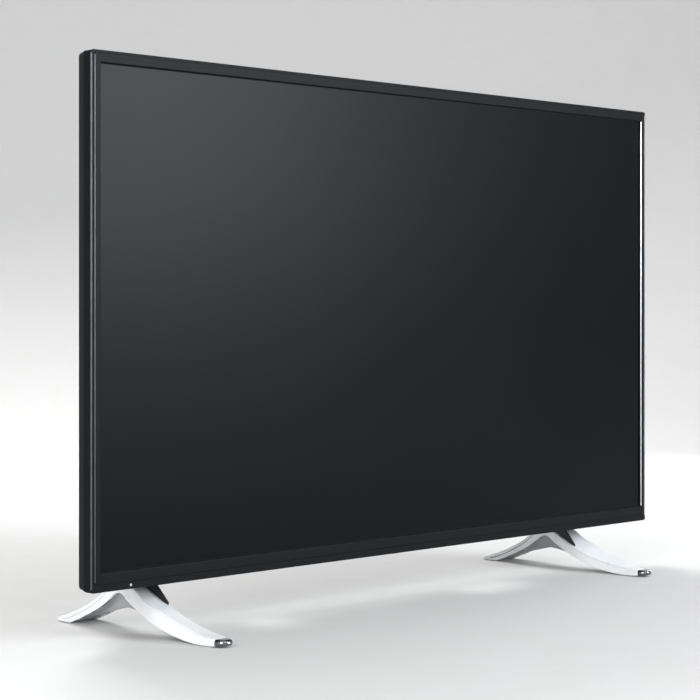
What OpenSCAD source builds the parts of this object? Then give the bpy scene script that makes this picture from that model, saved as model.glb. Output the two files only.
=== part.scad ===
// Flat screen television, 43 inch class, standing on two arched feet.
// X runs to the right as seen from the front, Y to the back and Z up from the floor.
// Depths are counted backwards from the raised face of the bezel.

/* [Screen] */
// Width of the lit picture
active_w = 941.2; // [920:0.1:980]
// Height of the lit picture
active_h = 529.4; // [510:0.1:560]
// Dark border between the picture and the bezel opening
view_margin = 2.4; // [1.5:0.1:3]
// Cell beyond the picture on every side
cell_margin = 6.5; // [6:0.1:7.5]
// Thickness of the cell
cell_t = 1.6; // [1.2:0.1:2.4]
// Thickness of the foam gasket between bezel lip and cell
gasket_t = 0.5; // [0.3:0.1:1]
// Width of the foam gasket
gasket_w = 2.5; // [1.5:0.1:3]

/* [Front bezel] */
// Raised frame at the left and right of the opening
frame_side = 8; // [7.5:0.1:12]
// Raised frame above the opening
frame_top = 10.5; // [8:0.1:16]
// Raised frame below the opening
frame_bottom = 12; // [10:0.1:18]
// Lower rim outside the raised frame, at the sides
rim_side = 4; // [3.5:0.1:8]
// Lower rim above the raised frame
rim_top = 3; // [2.5:0.1:8]
// Lower strip under the raised frame
rim_bottom = 8.5; // [8:0.1:14]
// Step from the raised face back to the rim
rim_step = 1.8; // [1:0.1:2.2]
// Thickness of the lip over the cell
lip_t = 2.5; // [2:0.1:3.5]
// Depth of the bezel from face to parting line
bezel_d = 14; // [13:0.1:18]
// Side wall of the bezel
bezel_wall = 2.4; // [1.6:0.1:3]
// Corner radius of the whole body
corner_r = 4; // [2:0.1:8]
// Chamfer along the bezel edges
edge_chamfer = 0.8; // [0.3:0.1:1.2]

/* [Rear cover] */
// Wall of the rear cover
cover_wall = 2.5; // [2:0.1:3]
// Depth of the straight rim behind the parting line
cover_rim_d = 12; // [8:0.1:14]
// Rounding from the rim into the slope
cover_edge_r = 6; // [4:0.1:7]
// Depth from face to the upper back panel
back_d = 48; // [44:0.5:54]
// Width of the slope between rim and upper back panel
slope_run = 40; // [34:0.5:60]
// Depth from face to the back of the electronics housing
housing_d = 84; // [80:0.5:92]
// Width of the flat back of the electronics housing
housing_w = 810; // [740:1:880]
// Height of the housing's flat back above the body's lower edge
housing_h = 350; // [346:1:380]
// Rise of the underside from the rim to the housing's back
bottom_draft = 8; // [5:0.5:10]
// Spacing of the four wall mount holes
wall_mount = 200; // [200:100:200]
// Height of the wall mount centre above the middle of the free area over the ribbon
wall_mount_up = 0.5; // [-10:0.5:10]
// Radius of the wall mount threads
wall_mount_r = 3; // [2.5:0.5:4]
// Radius of a wall mount post
post_r = 6; // [5:0.5:8]
// Length of thread in a wall mount post
thread_l = 20; // [15:1:30]
// Width of one vent slot
vent_w = 3; // [2:0.5:4]
// Length of one vent slot
vent_l = 30; // [20:1:34]
// Spacing of the vent slots
vent_pitch = 9; // [7:0.5:10]
// Vent slots in each field
vent_count = 18; // [6:1:20]

/* [Backlight] */
// Thickness of the ledge that carries the cell
ledge_t = 1.6; // [1:0.1:2.4]
// Wall of the middle frame's skirt
skirt_t = 1.6; // [1:0.1:2]
// Depth of the middle frame's skirt behind its ledge
skirt_d = 5.8; // [4:0.1:7]
// Thickness of one optical film
film_t = 0.3; // [0.2:0.05:0.5]
// Thickness of the diffuser plate
diffuser_t = 1.5; // [1:0.1:2.5]
// Sheet thickness of the steel pan
steel_t = 0.8; // [0.6:0.1:1.2]
// Depth of the steel pan
pan_d = 20; // [18:0.5:22]
// Flange round the steel pan
flange_w = 12; // [10:0.5:16]
// Width of the pan's sloping walls
pan_run = 34; // [28:0.5:38]
// Thickness of the white reflector sheet
reflector_t = 0.5; // [0.3:0.1:0.8]
// Width of a lamp bar
bar_w = 14; // [10:0.5:18]
// Thickness of a lamp bar
bar_t = 1; // [0.8:0.1:1.6]
// Lamp bars, one above the other
bar_count = 4; // [3:1:6]
// Lamps on each bar
lamp_count = 8; // [5:1:10]
// Radius of a lamp lens
lens_r = 8; // [6:0.5:9]
// Height of a lamp lens
lens_h = 5; // [3:0.5:7]

/* [Boards] */
// Thickness of the circuit boards
board_t = 1.6; // [1:0.1:2]
// Height of the stamped standoffs under the boards
standoff_h = 5; // [4:0.5:6]
// Width of the main and power boards
board_w = 204; // [200:1:206]
// Height of the main and power boards
board_h = 210; // [206:1:214]
// Distance of both boards from the middle
board_x = 118; // [116:1:120]
// Height of the boards above the body's lower edge
board_up = 67; // [65:1:69]
// Radius of the board and cover screws
screw_r = 1.5; // [1.2:0.1:1.8]

/* [Terminals] */
// Height of the side terminal recess
side_recess_h = 160; // [152:1:166]
// Height of the side recess above the body's lower edge
side_recess_up = 112; // [110:1:116]
// Width of the lower terminal recess
low_recess_w = 112; // [110:1:114]
// Width of the mains inlet recess
inlet_recess_w = 60; // [50:1:66]
// How far a socket stands out of its wall
socket_proud = 1; // [0.5:0.1:1.5]

/* [Control switch] */
// Distance of the switch from the side edge of the housing's back
switch_in = 33; // [28:1:40]
// Height of the switch above the body's lower edge
switch_up = 145; // [142:1:160]
// Width of the rocker cap
rocker_w = 11; // [10.5:0.5:13]
// Height of the rocker cap
rocker_h = 25; // [25:0.5:28]
// How far the rocker cap stands out of the cover
rocker_proud = 2; // [1:0.1:3]
// Radius of the rocker pin
pin_r = 1.2; // [1:0.1:1.4]
// Running clearance of the rocker on its pin
pin_fit = 0.05; // [0.02:0.01:0.1]
// Gap between the rocker cap and the cover, at its sides
cap_gap = 0.6; // [0.5:0.1:1]

/* [Speakers] */
// Width of a speaker box
speaker_w = 68; // [60:1:76]
// Height of a speaker box
speaker_h = 52; // [46:1:53]
// Depth of a speaker box
speaker_d = 44; // [42:1:45]
// Radius of a speaker cone
cone_r = 17; // [12:0.5:18]

/* [Feet] */
// Distance of each foot from the side edge of the housing's back
foot_in = 33; // [30:1:40]
// Width of a foot under the arch
foot_w = 33; // [32:0.5:35]
// Width of the toe
toe_w = 20; // [18:0.5:24]
// Width of the rear leg
heel_w = 40; // [37:0.5:44]
// Reach of a foot in front of the bezel face
foot_front = 88; // [80:1:100]
// Reach of a foot behind the bezel face
foot_back = 192; // [188:1:210]
// Height of the body's lower edge over the floor
body_lift = 59.5; // [59:0.5:66]
// Height of the arch's top
foot_h = 56; // [54:0.5:57]
// Height of the arch's underside
arch_h = 42.5; // [41:0.5:43.5]
// Depth of the arch's highest point
arch_y = 76; // [74:1:78]
// Height of the web's lower edge under the arch
web_h = 25.4; // [22:0.2:29]
// Thickness of the web
web_t = 8; // [6:0.5:8]
// Thickness of the toe
toe_t = 7; // [6:0.5:9]
// Where the front leg's underside meets the floor, in front of the face
toe_rise = 50; // [46:1:54]
// Where the rear leg's underside meets the floor
heel_rise = 160; // [156:1:164]
// Side wall and skin of a foot
foot_wall = 3; // [2.5:0.1:3.4]
// Height that the rubber pads stand proud
pad_proud = 0.6; // [0.4:0.1:1]
// Depth of the neck that carries the body
neck_d = 32; // [28:1:33]
// Height of the neck inside the rear cover
neck_in = 36; // [32:1:42]

/* [Fits] */
// Gap between pieces that sit in each other
fit = 0.3; // [0.2:0.05:0.4]
// Gap round a screw in its hole
screw_fit = 0.2; // [0.1:0.05:0.3]

/* [Hidden] */
$fn = 48;
eps = 0.01;

// The body
open_w = active_w + 2 * view_margin;
open_h = active_h + 2 * view_margin;
cell_w = active_w + 2 * cell_margin;
cell_h = active_h + 2 * cell_margin;
body_x = open_w / 2 + frame_side + rim_side;
body_z0 = body_lift;
open_z0 = body_z0 + rim_bottom + frame_bottom;
open_z1 = open_z0 + open_h;
body_z1 = open_z1 + frame_top + rim_top;
screen_z = (open_z0 + open_z1) / 2;
cell_x = cell_w / 2;
cell_z0 = screen_z - cell_h / 2;
cell_z1 = screen_z + cell_h / 2;
face_y = (foot_front - foot_back) / 2;

// The stack of layers, as depths behind the face
cell_d = lip_t + gasket_t;
ledge_d = cell_d + cell_t;
film_d = ledge_d + ledge_t;
plate_d = film_d + 2 * film_t;
flange_d = plate_d + diffuser_t;
floor_d = flange_d + pan_d;
pan_back_d = floor_d + steel_t;
bar_d = floor_d - bar_t;
board_d = pan_back_d + standoff_h;
parts_d = board_d + board_t;
plate_back_d = rim_step + bezel_wall;

// The middle frame and the pan inside the bezel
mid_x = body_x - bezel_wall - fit;
mid_z0 = cell_z0 - 3.5;
mid_z1 = body_z1 - bezel_wall - fit;
pan_x = mid_x - skirt_t - fit;
pan_z0 = mid_z0 + skirt_t + fit;
pan_z1 = mid_z1 - skirt_t - fit;
tray_x = pan_x - flange_w;
tray_z0 = pan_z0 + flange_w;
tray_z1 = pan_z1 - flange_w;

// The boards and the recesses in the cover
board_z0 = body_z0 + board_up;
board_z1 = board_z0 + board_h;
board_x1 = board_x + board_w;
recess_d = board_d - 1.2;
side_wall_x = board_x1 + 8;
side_z0 = body_z0 + side_recess_up;
side_z1 = side_z0 + side_recess_h;
low_wall_z = board_z0 - 6;
low_x0 = board_x + 7;
low_x1 = low_x0 + low_recess_w;
inlet_x0 = -board_x - 45 - inlet_recess_w;
inlet_x1 = inlet_x0 + inlet_recess_w;
inlet_x = (inlet_x0 + inlet_x1) / 2;
housing_x = housing_w / 2;
foot_x = housing_x - foot_in;
switch_x = housing_x - switch_in;
housing_z1 = body_z0 + housing_h;
timing_w = 130;
timing_h = 44;
timing_z0 = board_z0 + 4;
ribbon_w = 28;
ribbon_z = [timing_z0 + 2, timing_z0 + 2 + ribbon_w];
mount_z = (ribbon_z[1] + housing_z1) / 2 + wall_mount_up;
mount_spots = [for (x = [-1, 1], z = [-1, 1]) [x * wall_mount / 2, mount_z + z * wall_mount / 2]];

// Screws that hold the cover and the boards to the pan
corner_screw_in = 105;
corner_screw_down = 88;
top_screw_down = 68;
housing_screw_in = 33;
housing_screw_down = 26;
board_screw_out = 24;
board_screw_up = 20;
middle_screw_down = 61;
cover_spots = concat(
    [for (s = [-1, 1]) [s * (body_x - corner_screw_in), body_z1 - corner_screw_down]],
    [for (s = [-1, 1]) [s * (housing_x - housing_screw_in), housing_z1 - housing_screw_down]],
    [for (s = [-1, 1]) [s * (board_x1 + board_screw_out), board_z0 + board_screw_up]],
    [[0, body_z1 - top_screw_down], [0, mount_z - middle_screw_down]]
);
board_hole_in = 8;
board_spots = [
    for (s = [-1, 1], x = [board_x + board_hole_in, board_x1 - board_hole_in])
        for (z = [board_z0 + board_hole_in + 12, board_z1 - board_hole_in]) [s * x, z]
];
timing_spots = [for (s = [-1, 1]) [s * (timing_w / 2 - 6), timing_z0 + timing_h - 6]];
screw_head_r = 2 * screw_r;
well_r = screw_head_r + 1;
well_floor = 2.5;

// The control switch
switch_z = body_z0 + switch_up;
pin_d = housing_d - 7;
travel = 0.8;
rock_angle = 5;
rocker_top_d = housing_d + rocker_proud;
aperture_x = rocker_w / 2 + cap_gap;
aperture_z = rocker_h / 2 + (rocker_top_d - pin_d) * sin(rock_angle) + cap_gap;
switch_board_d = pin_d - 13.5;
plunger_x = 4.5;
plunger_z = 6;
plunger_d = switch_board_d + 3;
guide_x = plunger_x + fit;
guide_z = plunger_z + fit;
guide_wall = 2.4;
boss_in = rocker_h / 2 + 9;

// The feet, seen from the side: depth behind the face and height over the floor
heel_t = 1.6;
top_front = curve([arch_y + 6, foot_h], [-38, toe_t], [toe_t / 2 - foot_front, pad_proud + toe_t], 14);
top_rear = curve([arch_y + 12, foot_h], [arch_y + 36, foot_h * 0.42], [foot_back, pad_proud + heel_t], 12);
under_front = curve([-toe_rise, pad_proud], [4, 3], [arch_y - 14, arch_h - 7], 12);
under_top = curve([arch_y - 14, arch_h - 7], [arch_y - 1, arch_h + 6.5], [arch_y + 12, arch_h - 5], 8);
under_rear = curve([arch_y + 12, arch_h - 5], [arch_y + 28, arch_h / 2], [heel_rise, pad_proud], 10);
under = concat(under_front, tail(under_top), tail(under_rear));
web_front = curve([-14, 6.8], [44, web_h - 3], [arch_y, web_h], 8);
web_rear = curve([arch_y, web_h], [arch_y + 21, web_h - 4], [heel_rise, pad_proud + 3], 10);
core_front = 4 - toe_rise;
core_back = heel_rise + 4;
core_lift = 0.8;
heel_r = 14;

// The neck: a tongue in the foot's top and a tenon in the cover
neck_y0 = arch_y - 32;
neck_y1 = neck_y0 + neck_d;
neck_x = 12;
tongue_x = foot_w / 2 - foot_wall - fit;
tongue_y = [26, 62, arch_y + 14];
tongue_in = 5;
tongue_nose = [16, 53];
tongue_top = foot_h + 3;
tongue_sink = 2;
neck_screw_x = 8.5;
neck_screw_y = [arch_y, arch_y + 10];
neck_screw_z = arch_h + 3;

// The rubber pads under toe and heel
pad_t = 1.4;
pad_l = 18;
pad_w = 14;
pad_spots = [-toe_rise - 12, heel_rise + 16];

// Points of a curve drawn towards one corner
function curve(a, b, c, n) =
    [for (i = [0:n]) let (t = i / n) a * pow(1 - t, 2) + b * 2 * t * (1 - t) + c * t * t];
// The right half of an outline with its mirrored left half
function both_sides(points) =
    concat(points, [for (i = [len(points) - 1:-1:0]) [-points[i][0], points[i][1]]]);
// Points of an outline lowered by some height
function lowered(points, drop) = [for (p = points) [p[0], p[1] - drop]];
// Points without the first one, and in the other order
function tail(points) = [for (i = [1:len(points) - 1]) points[i]];
function backwards(points) = [for (i = [len(points) - 1:-1:0]) points[i]];
// Points between two depths, with an end at both of them
function between(points, from, to) =
    concat(
        [[from, lookup(from, points)]],
        [for (p = points) if (p[0] > from + eps && p[0] < to - eps) p],
        [[to, lookup(to, points)]]
    );
// An outline's points moved from depths to the model's Y
function placed(points) = [for (p = points) [p[0] + face_y, p[1]]];
// Evenly spread places about a middle
function spread(count, pitch) = [for (i = [0:count - 1]) (i - (count - 1) / 2) * pitch];

// A box between two depths
module slab(x, d, z) {
    translate([x[0], face_y + d[0], z[0]]) cube([x[1] - x[0], d[1] - d[0], z[1] - z[0]]);
}

// A round bar along the depth
module rod(spot, d, r) {
    translate([spot[0], face_y + d[0], spot[1]]) rotate([-90, 0, 0]) cylinder(r = r, h = d[1] - d[0]);
}

// Extrusions of outlines seen from the front, from above and from the side
module along_y(d) {
    translate([0, face_y + d[1], 0]) rotate([90, 0, 0]) linear_extrude(d[1] - d[0]) children();
}

module along_z(z) {
    translate([0, 0, z[0]]) linear_extrude(z[1] - z[0]) children();
}

module along_x(x) {
    translate([x[0], 0, 0]) rotate([90, 0, 90]) linear_extrude(x[1] - x[0]) children();
}

// A rectangle with round corners
module round_rect(x, z, r) {
    translate([x[0] + r, z[0]]) square([x[1] - x[0] - 2 * r, z[1] - z[0]]);
    translate([x[0], z[0] + r]) square([x[1] - x[0], z[1] - z[0] - 2 * r]);
    for (px = [x[0] + r, x[1] - r], pz = [z[0] + r, z[1] - r])
        translate([px, pz]) circle(r);
}

// A block whose edges draw in by the run between two depths
module tray(x, d, z, run) {
    intersection() {
        along_z(z) translate([0, face_y])
            polygon(both_sides([[x, d[0]], [x - run, d[1]]]));
        along_x([-x, x]) translate([face_y, 0])
            polygon([[d[0], z[0]], [d[1], z[0] + run], [d[1], z[1] - run], [d[0], z[1]]]);
    }
}

// A block with its front edges chamfered
module chamfered(x, d, z, c) {
    tray_back = [d[0] + c, d[1]];
    slab([-x, x], tray_back, z);
    intersection() {
        along_z(z) translate([0, face_y])
            polygon(both_sides([[x - c, d[0]], [x, d[0] + c]]));
        along_x([-x, x]) translate([face_y, 0])
            polygon([[d[0], z[0] + c], [d[0] + c, z[0]], [d[0] + c, z[1]], [d[0], z[1] - c]]);
    }
}

// A flat frame between an outer and an inner rectangle
module flat_frame(x, z, d, inner_x, inner_z) {
    difference() {
        slab([-x, x], d, z);
        slab([-inner_x, inner_x], [d[0] - eps, d[1] + eps], inner_z);
    }
}

// A screw with its head seated at a depth, driven to the front (-1) or to the back (1)
module screw(spot, seat_d, length, r, way = -1) {
    head_h = 1.4 * r;
    tip_d = seat_d + way * length;
    top_d = seat_d - way * head_h;
    socket_d = seat_d - way * head_h / 2;
    rod(spot, [min(seat_d, tip_d), max(seat_d, tip_d)], r);
    difference() {
        rod(spot, [min(seat_d, top_d), max(seat_d, top_d)], 2 * r);
        rod(spot, [min(socket_d, top_d - way * eps), max(socket_d, top_d - way * eps)], 0.9 * r);
    }
}

// Front bezel: raised frame, lower rim, side walls and the lip over the cell
module front_bezel() {
    raised_x = open_w / 2 + frame_side;
    color("#2f3335") difference() {
        union() {
            intersection() {
                chamfered(body_x, [rim_step, bezel_d], [body_z0, body_z1], edge_chamfer);
                along_y([0, bezel_d]) round_rect([-body_x, body_x], [body_z0, body_z1], corner_r);
            }
            chamfered(raised_x, [0, plate_back_d],
                [open_z0 - frame_bottom, open_z1 + frame_top], edge_chamfer);
        }
        slab([-open_w / 2, open_w / 2], [-1, bezel_d], [open_z0, open_z1]);
        tray(open_w / 2 + edge_chamfer, [-eps, edge_chamfer],
            [open_z0 - edge_chamfer, open_z1 + edge_chamfer], edge_chamfer);
        slab([-cell_x - 1, cell_x + 1], [lip_t, bezel_d], [cell_z0 - 1, cell_z1 + 1]);
        slab([bezel_wall - body_x, body_x - bezel_wall], [plate_back_d, bezel_d + 1],
            [body_z0 + bezel_wall, body_z1 - bezel_wall]);
        rod(lens_spot, [0, bezel_d], window_r + fit);
    }
}

// Foam gasket between lip and cell
module panel_gasket() {
    inset = fit;
    color("#1b1c1e")
        flat_frame(open_w / 2 + inset + gasket_w, [open_z0 - inset - gasket_w, open_z1 + inset + gasket_w],
            [lip_t, cell_d], open_w / 2 + inset, [open_z0 - inset, open_z1 + inset]);
}

// Liquid crystal cell, the glass that is seen
module lcd_cell() {
    color("#2a2c30") slab([-cell_x, cell_x], [cell_d, ledge_d], [cell_z0, cell_z1]);
}

// Middle frame: the cell lies on its ledge and its skirt goes round the pan
module middle_frame() {
    color("#3a3b3d") {
        flat_frame(mid_x, [mid_z0, mid_z1], [ledge_d, film_d], active_w / 2 + 1,
            [screen_z - active_h / 2 - 1, screen_z + active_h / 2 + 1]);
        flat_frame(mid_x, [mid_z0, mid_z1], [film_d - eps, film_d + skirt_d], mid_x - skirt_t,
            [mid_z0 + skirt_t, mid_z1 - skirt_t]);
    }
}

// One sheet of the backlight stack
module sheet(d, t) {
    inset = 1;
    slab([inset - pan_x, pan_x - inset], [d, d + t], [pan_z0 + inset, pan_z1 - inset]);
}

module brightness_film() {
    color("#d9dde0") sheet(film_d, film_t);
}

module diffuser_film() {
    color("#e6e8ea") sheet(film_d + film_t, film_t);
}

module diffuser_plate() {
    color("#f2f2ee") sheet(plate_d, diffuser_t);
}

// Places of the lamps on the pan's floor
bar_places = spread(bar_count, (tray_z1 - tray_z0 - 2 * pan_run) / bar_count);
lamp_places = spread(lamp_count, (2 * tray_x - 2 * pan_run) / lamp_count);
tray_mid = (tray_z0 + tray_z1) / 2;

// White reflector sheet that lines the pan, with a hole for every lens
module reflector_sheet() {
    lining = 0.3;
    color("#f7f7f4") difference() {
        tray(tray_x - lining, [flange_d, bar_d], [tray_z0 + lining, tray_z1 - lining], pan_run);
        tray(tray_x - lining - reflector_t, [flange_d - eps, bar_d - reflector_t],
            [tray_z0 + lining + reflector_t, tray_z1 - lining - reflector_t], pan_run);
        for (z = bar_places, x = lamp_places)
            rod([x, tray_mid + z], [bar_d - 2 * reflector_t, bar_d + eps], lens_r + fit);
    }
}

// Lamp bars on the pan's floor
module lamp_bars() {
    bar_x = tray_x - pan_run - 8;
    color("#e9e7df") for (z = bar_places)
        slab([-bar_x, bar_x], [bar_d, floor_d], [tray_mid + z - bar_w / 2, tray_mid + z + bar_w / 2]);
}

// Domed lenses over the lamps
module lamp_lenses() {
    dome = curve([lens_r, 0], [lens_r, lens_h], [lens_r / 3, lens_h], 5);
    color("#eef4f7") for (z = bar_places, x = lamp_places)
        translate([x, face_y + bar_d, tray_mid + z]) rotate([90, 0, 0]) rotate_extrude()
            polygon(concat([[0, 0]], dome, [[0, lens_h * 0.85]]));
}

// Pressed steel pan with the standoffs for the boards
module back_pan() {
    draw = steel_t / 2;
    color("#a7abae") difference() {
        union() {
            slab([-pan_x, pan_x], [flange_d, flange_d + steel_t], [pan_z0, pan_z1]);
            tray(tray_x + draw, [flange_d + steel_t, pan_back_d], [tray_z0 - draw, tray_z1 + draw], pan_run);
            for (spot = concat(board_spots, timing_spots))
                rod(spot, [floor_d, board_d], 2.4 * screw_r);
        }
        tray(tray_x, [flange_d - eps, floor_d], [tray_z0, tray_z1], pan_run);
        for (spot = concat(board_spots, timing_spots))
            rod(spot, [floor_d - 1, board_d + 1], screw_r + screw_fit);
        for (spot = cover_spots)
            rod(spot, [floor_d - 1, pan_back_d + 1], screw_r + screw_fit);
    }
}

// Two source boards under the cell and the drive films that join them to it
source_l = 300;
source_gap = 60;
source_h = 7;
source_t = 1;
film_z0 = body_z0 + bezel_wall + fit;
film_front = plate_back_d + 0.06;
drive_film_t = 0.3;

module source_boards() {
    color("#2d5a3a") for (s = [0, 1]) mirror([s, 0, 0])
        slab([source_gap / 2, source_gap / 2 + source_l],
            [film_front + drive_film_t, film_front + drive_film_t + source_t], [film_z0, film_z0 + source_h]);
}

module drive_films() {
    film_w = 26;
    color("#b7772f") for (s = [-1, 1], x = spread(4, source_l / 4))
        let (mid = s * (source_gap + source_l) / 2 + x)
            slab([mid - film_w / 2, mid + film_w / 2], [film_front, film_front + drive_film_t],
                [film_z0 + 2, cell_z0]);
}

// A circuit board on the standoffs, with holes for its screws
module circuit_board(x, z, spots) {
    difference() {
        slab(x, [board_d, parts_d], z);
        for (spot = spots) rod(spot, [board_d - 1, parts_d + 1], screw_r + screw_fit);
    }
}

// Header that takes an end of the ribbon
module ribbon_header(x) {
    slab([x - header_w / 2, x + header_w / 2], [parts_d - eps, parts_d + header_h], ribbon_z);
}

// Timing board in the middle, with the two ribbon headers
ribbon_t = 0.4;
header_h = 3;
header_w = 6;
main_header_x = board_x + 17;
timing_header_x = timing_w / 2 - 11;

module timing_board() {
    color("#256047") {
        circuit_board([-timing_w / 2, timing_w / 2], [timing_z0, timing_z0 + timing_h], timing_spots);
        ribbon_header(timing_header_x);
    }
}

// Flat ribbon from the timing board over to the main board
module panel_ribbon() {
    start = timing_header_x;
    finish = main_header_x;
    low = parts_d + header_h;
    high = low + 8;
    color("#d8d4c6") along_z(ribbon_z) translate([0, face_y])
        polygon([
            [start, low], [start + 6, low], [start + 20, high], [finish - 20, high], [finish - 6, low],
            [finish, low], [finish, low + ribbon_t], [finish - 6 + ribbon_t, low + ribbon_t],
            [finish - 20 + ribbon_t, high + ribbon_t], [start + 20 - ribbon_t, high + ribbon_t],
            [start + 6 - ribbon_t, low + ribbon_t], [start, low + ribbon_t]
        ]);
}

// Main board with its ribbon header and a row of chips
module main_board() {
    color("#1f5b3c") {
        circuit_board([board_x, board_x1], [board_z0, board_z1], board_spots);
        ribbon_header(main_header_x);
        for (i = [0:2])
            slab([board_x + 30, board_x + 44], [parts_d - eps, parts_d + 1.2],
                [board_z0 + 90 + 26 * i, board_z0 + 104 + 26 * i]);
    }
}

// A finned heat sink
module heat_sink(x, z, base, height, fins) {
    slab(x, [parts_d, parts_d + base], z);
    pitch = (x[1] - x[0]) / fins;
    for (place = spread(fins, pitch))
        slab([(x[0] + x[1]) / 2 + place - 0.8, (x[0] + x[1]) / 2 + place + 0.8],
            [parts_d + base - eps, parts_d + height], z);
}

module main_heat_sink() {
    color("#b9bcc0")
        heat_sink([board_x + 60, board_x + 110], [board_z0 + 95, board_z0 + 145], 3, 14, 9);
}

// Sockets stand on the boards: a metal shell with an open mouth
module shell_x(z, h, l, wall) {
    mouth = side_wall_x + socket_proud;
    difference() {
        slab([mouth - l, mouth], [parts_d, parts_d + h], z);
        slab([mouth - l + 2, mouth + eps], [parts_d + wall, parts_d + h - wall], [z[0] + wall, z[1] - wall]);
    }
}

module shell_z(x, h, l, wall) {
    mouth = low_wall_z - socket_proud;
    difference() {
        slab(x, [parts_d, parts_d + h], [mouth, mouth + l]);
        slab([x[0] + wall, x[1] - wall], [parts_d + wall, parts_d + h - wall], [mouth - eps, mouth + l - 2]);
    }
}

// Places of the side sockets above the recess's lower edge
hdmi_w = 15.4;
hdmi_h = 6;
usb_w = 14.4;
usb_h = 7.2;
card_w = 56;
card_h = 8;
jack_w = 9;
jack_z = side_z0 + 12;
usb_z = [side_z0 + 20, side_z0 + 38];
hdmi_z = [side_z0 + 56, side_z0 + 74];
card_z = side_z0 + 94;
metal_t = 0.5;
socket_l = 16;

module hdmi_socket_1() {
    color("#c4c6c8") shell_x([hdmi_z[0], hdmi_z[0] + hdmi_w], hdmi_h, socket_l, metal_t);
}

module hdmi_socket_2() {
    color("#c4c6c8") shell_x([hdmi_z[1], hdmi_z[1] + hdmi_w], hdmi_h, socket_l, metal_t);
}

module usb_socket_1() {
    color("#c4c6c8") shell_x([usb_z[0], usb_z[0] + usb_w], usb_h, socket_l, metal_t);
}

module usb_socket_2() {
    color("#c4c6c8") shell_x([usb_z[1], usb_z[1] + usb_w], usb_h, socket_l, metal_t);
}

// Cage for a plug-in card
module card_slot() {
    color("#a9acae") shell_x([card_z, card_z + card_w], card_h, 64, 1);
}

module headphone_jack() {
    mouth = side_wall_x + socket_proud;
    color("#202123") difference() {
        slab([mouth - 13, mouth], [parts_d, parts_d + jack_w], [jack_z - jack_w / 2, jack_z + jack_w / 2]);
        translate([mouth - 11, face_y + parts_d + jack_w / 2, jack_z]) rotate([0, 90, 0])
            cylinder(r = 1.8, h = 12);
    }
}

// Places of the lower sockets along the lower recess
network_x = low_x0 + 16;
network_w = 16;
network_h = 13.5;
jack_x = [low_x0 + 44, low_x0 + 58];
antenna_x = low_x0 + 88;
antenna_r = 4.75;
can_w = 34;
can_h = 14;
can_l = 44;
can_z0 = board_z0 + 6;

module network_socket() {
    color("#bfc2c4") shell_z([network_x, network_x + network_w], network_h, 18, 1.5);
}

module audio_jacks() {
    mouth = low_wall_z - socket_proud;
    color("#202123") for (x = jack_x) difference() {
        slab([x - jack_w / 2, x + jack_w / 2], [parts_d, parts_d + jack_w], [mouth, mouth + 13]);
        translate([x, face_y + parts_d + jack_w / 2, mouth - 1]) cylinder(r = 1.8, h = 12);
    }
}

// Tuner can and the coaxial socket that stands out of it
module tuner_can() {
    color("#c9cbcd")
        slab([antenna_x - can_w / 2, antenna_x + can_w / 2], [parts_d, parts_d + can_h],
            [can_z0, can_z0 + can_l]);
}

module antenna_socket() {
    mouth = low_wall_z - socket_proud - 7;
    color("#d3d5d6") translate([antenna_x, face_y + parts_d + can_h / 2, 0]) difference() {
        translate([0, 0, mouth]) cylinder(r = antenna_r, h = can_z0 - mouth);
        translate([0, 0, mouth - 1]) cylinder(r = antenna_r - 0.9, h = 9);
    }
}

// Power board with its pieces
module power_board() {
    color("#8a6a3b") circuit_board([-board_x1, -board_x], [board_z0, board_z1], board_spots);
}

module power_transformer() {
    place = [-board_x - 84, board_z0 + 84];
    cheek = [22, 18];
    winding = 16;
    levels = [parts_d, parts_d + 8, parts_d + 22, parts_d + 28];
    color("#3b3a36") translate([place[0], 0, place[1]]) {
        slab([-cheek[0], cheek[0]], [levels[0], levels[1]], [-cheek[1], cheek[1]]);
        slab([-winding, winding], [levels[1] - eps, levels[2]], [-winding, winding]);
        slab([-cheek[0], cheek[0]], [levels[2] - eps, levels[3]], [-cheek[1], cheek[1]]);
    }
}

module power_capacitors() {
    color("#2a2d3a") for (i = [0:2])
        rod([-board_x - 34, board_z0 + 70 + 26 * i], [parts_d, parts_d + 30], 9);
}

module power_heat_sink() {
    color("#9ea2a5")
        heat_sink([-board_x1 + 20, -board_x1 + 36], [board_z0 + 60, board_z0 + 140], 6, 26, 3);
}

// Two pin mains inlet, open downwards
inlet_w = 26;
inlet_h = 15;
inlet_pin_r = 1.2;
pin_out = 4.3;

module mains_inlet() {
    mouth = low_wall_z - socket_proud;
    color("#1d1e20") {
        shell_z([inlet_x - inlet_w / 2, inlet_x + inlet_w / 2], inlet_h, 22, 2.6);
        for (s = [-1, 1])
            translate([inlet_x + s * pin_out, face_y + parts_d + inlet_h / 2, mouth + 5])
                cylinder(r = inlet_pin_r, h = 16);
    }
}

// Speakers that play downwards, midway between the lower recess and the foot's sleeve
sleeve_x = neck_x + fit + cover_wall;
speaker_x = (low_x1 + cover_wall + foot_x - sleeve_x) / 2;
speaker_z0 = body_z0 + bottom_draft + cover_wall + fit;
speaker_d1 = housing_d - cover_wall - 1.5;

module speaker_box(side) {
    middle = side * speaker_x;
    depth = [speaker_d1 - speaker_d, speaker_d1];
    color("#232427") difference() {
        slab([middle - speaker_w / 2, middle + speaker_w / 2], depth, [speaker_z0, speaker_z0 + speaker_h]);
        slab([middle - speaker_w / 2 + 2, middle + speaker_w / 2 - 2], [depth[0] + 2, depth[1] - 2],
            [speaker_z0 + 2, speaker_z0 + speaker_h - 2]);
        translate([middle, face_y + speaker_d1 - speaker_d / 2, speaker_z0 - 1])
            cylinder(r = cone_r + fit, h = 4);
    }
}

module speaker_box_left() {
    speaker_box(-1);
}

module speaker_box_right() {
    speaker_box(1);
}

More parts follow.
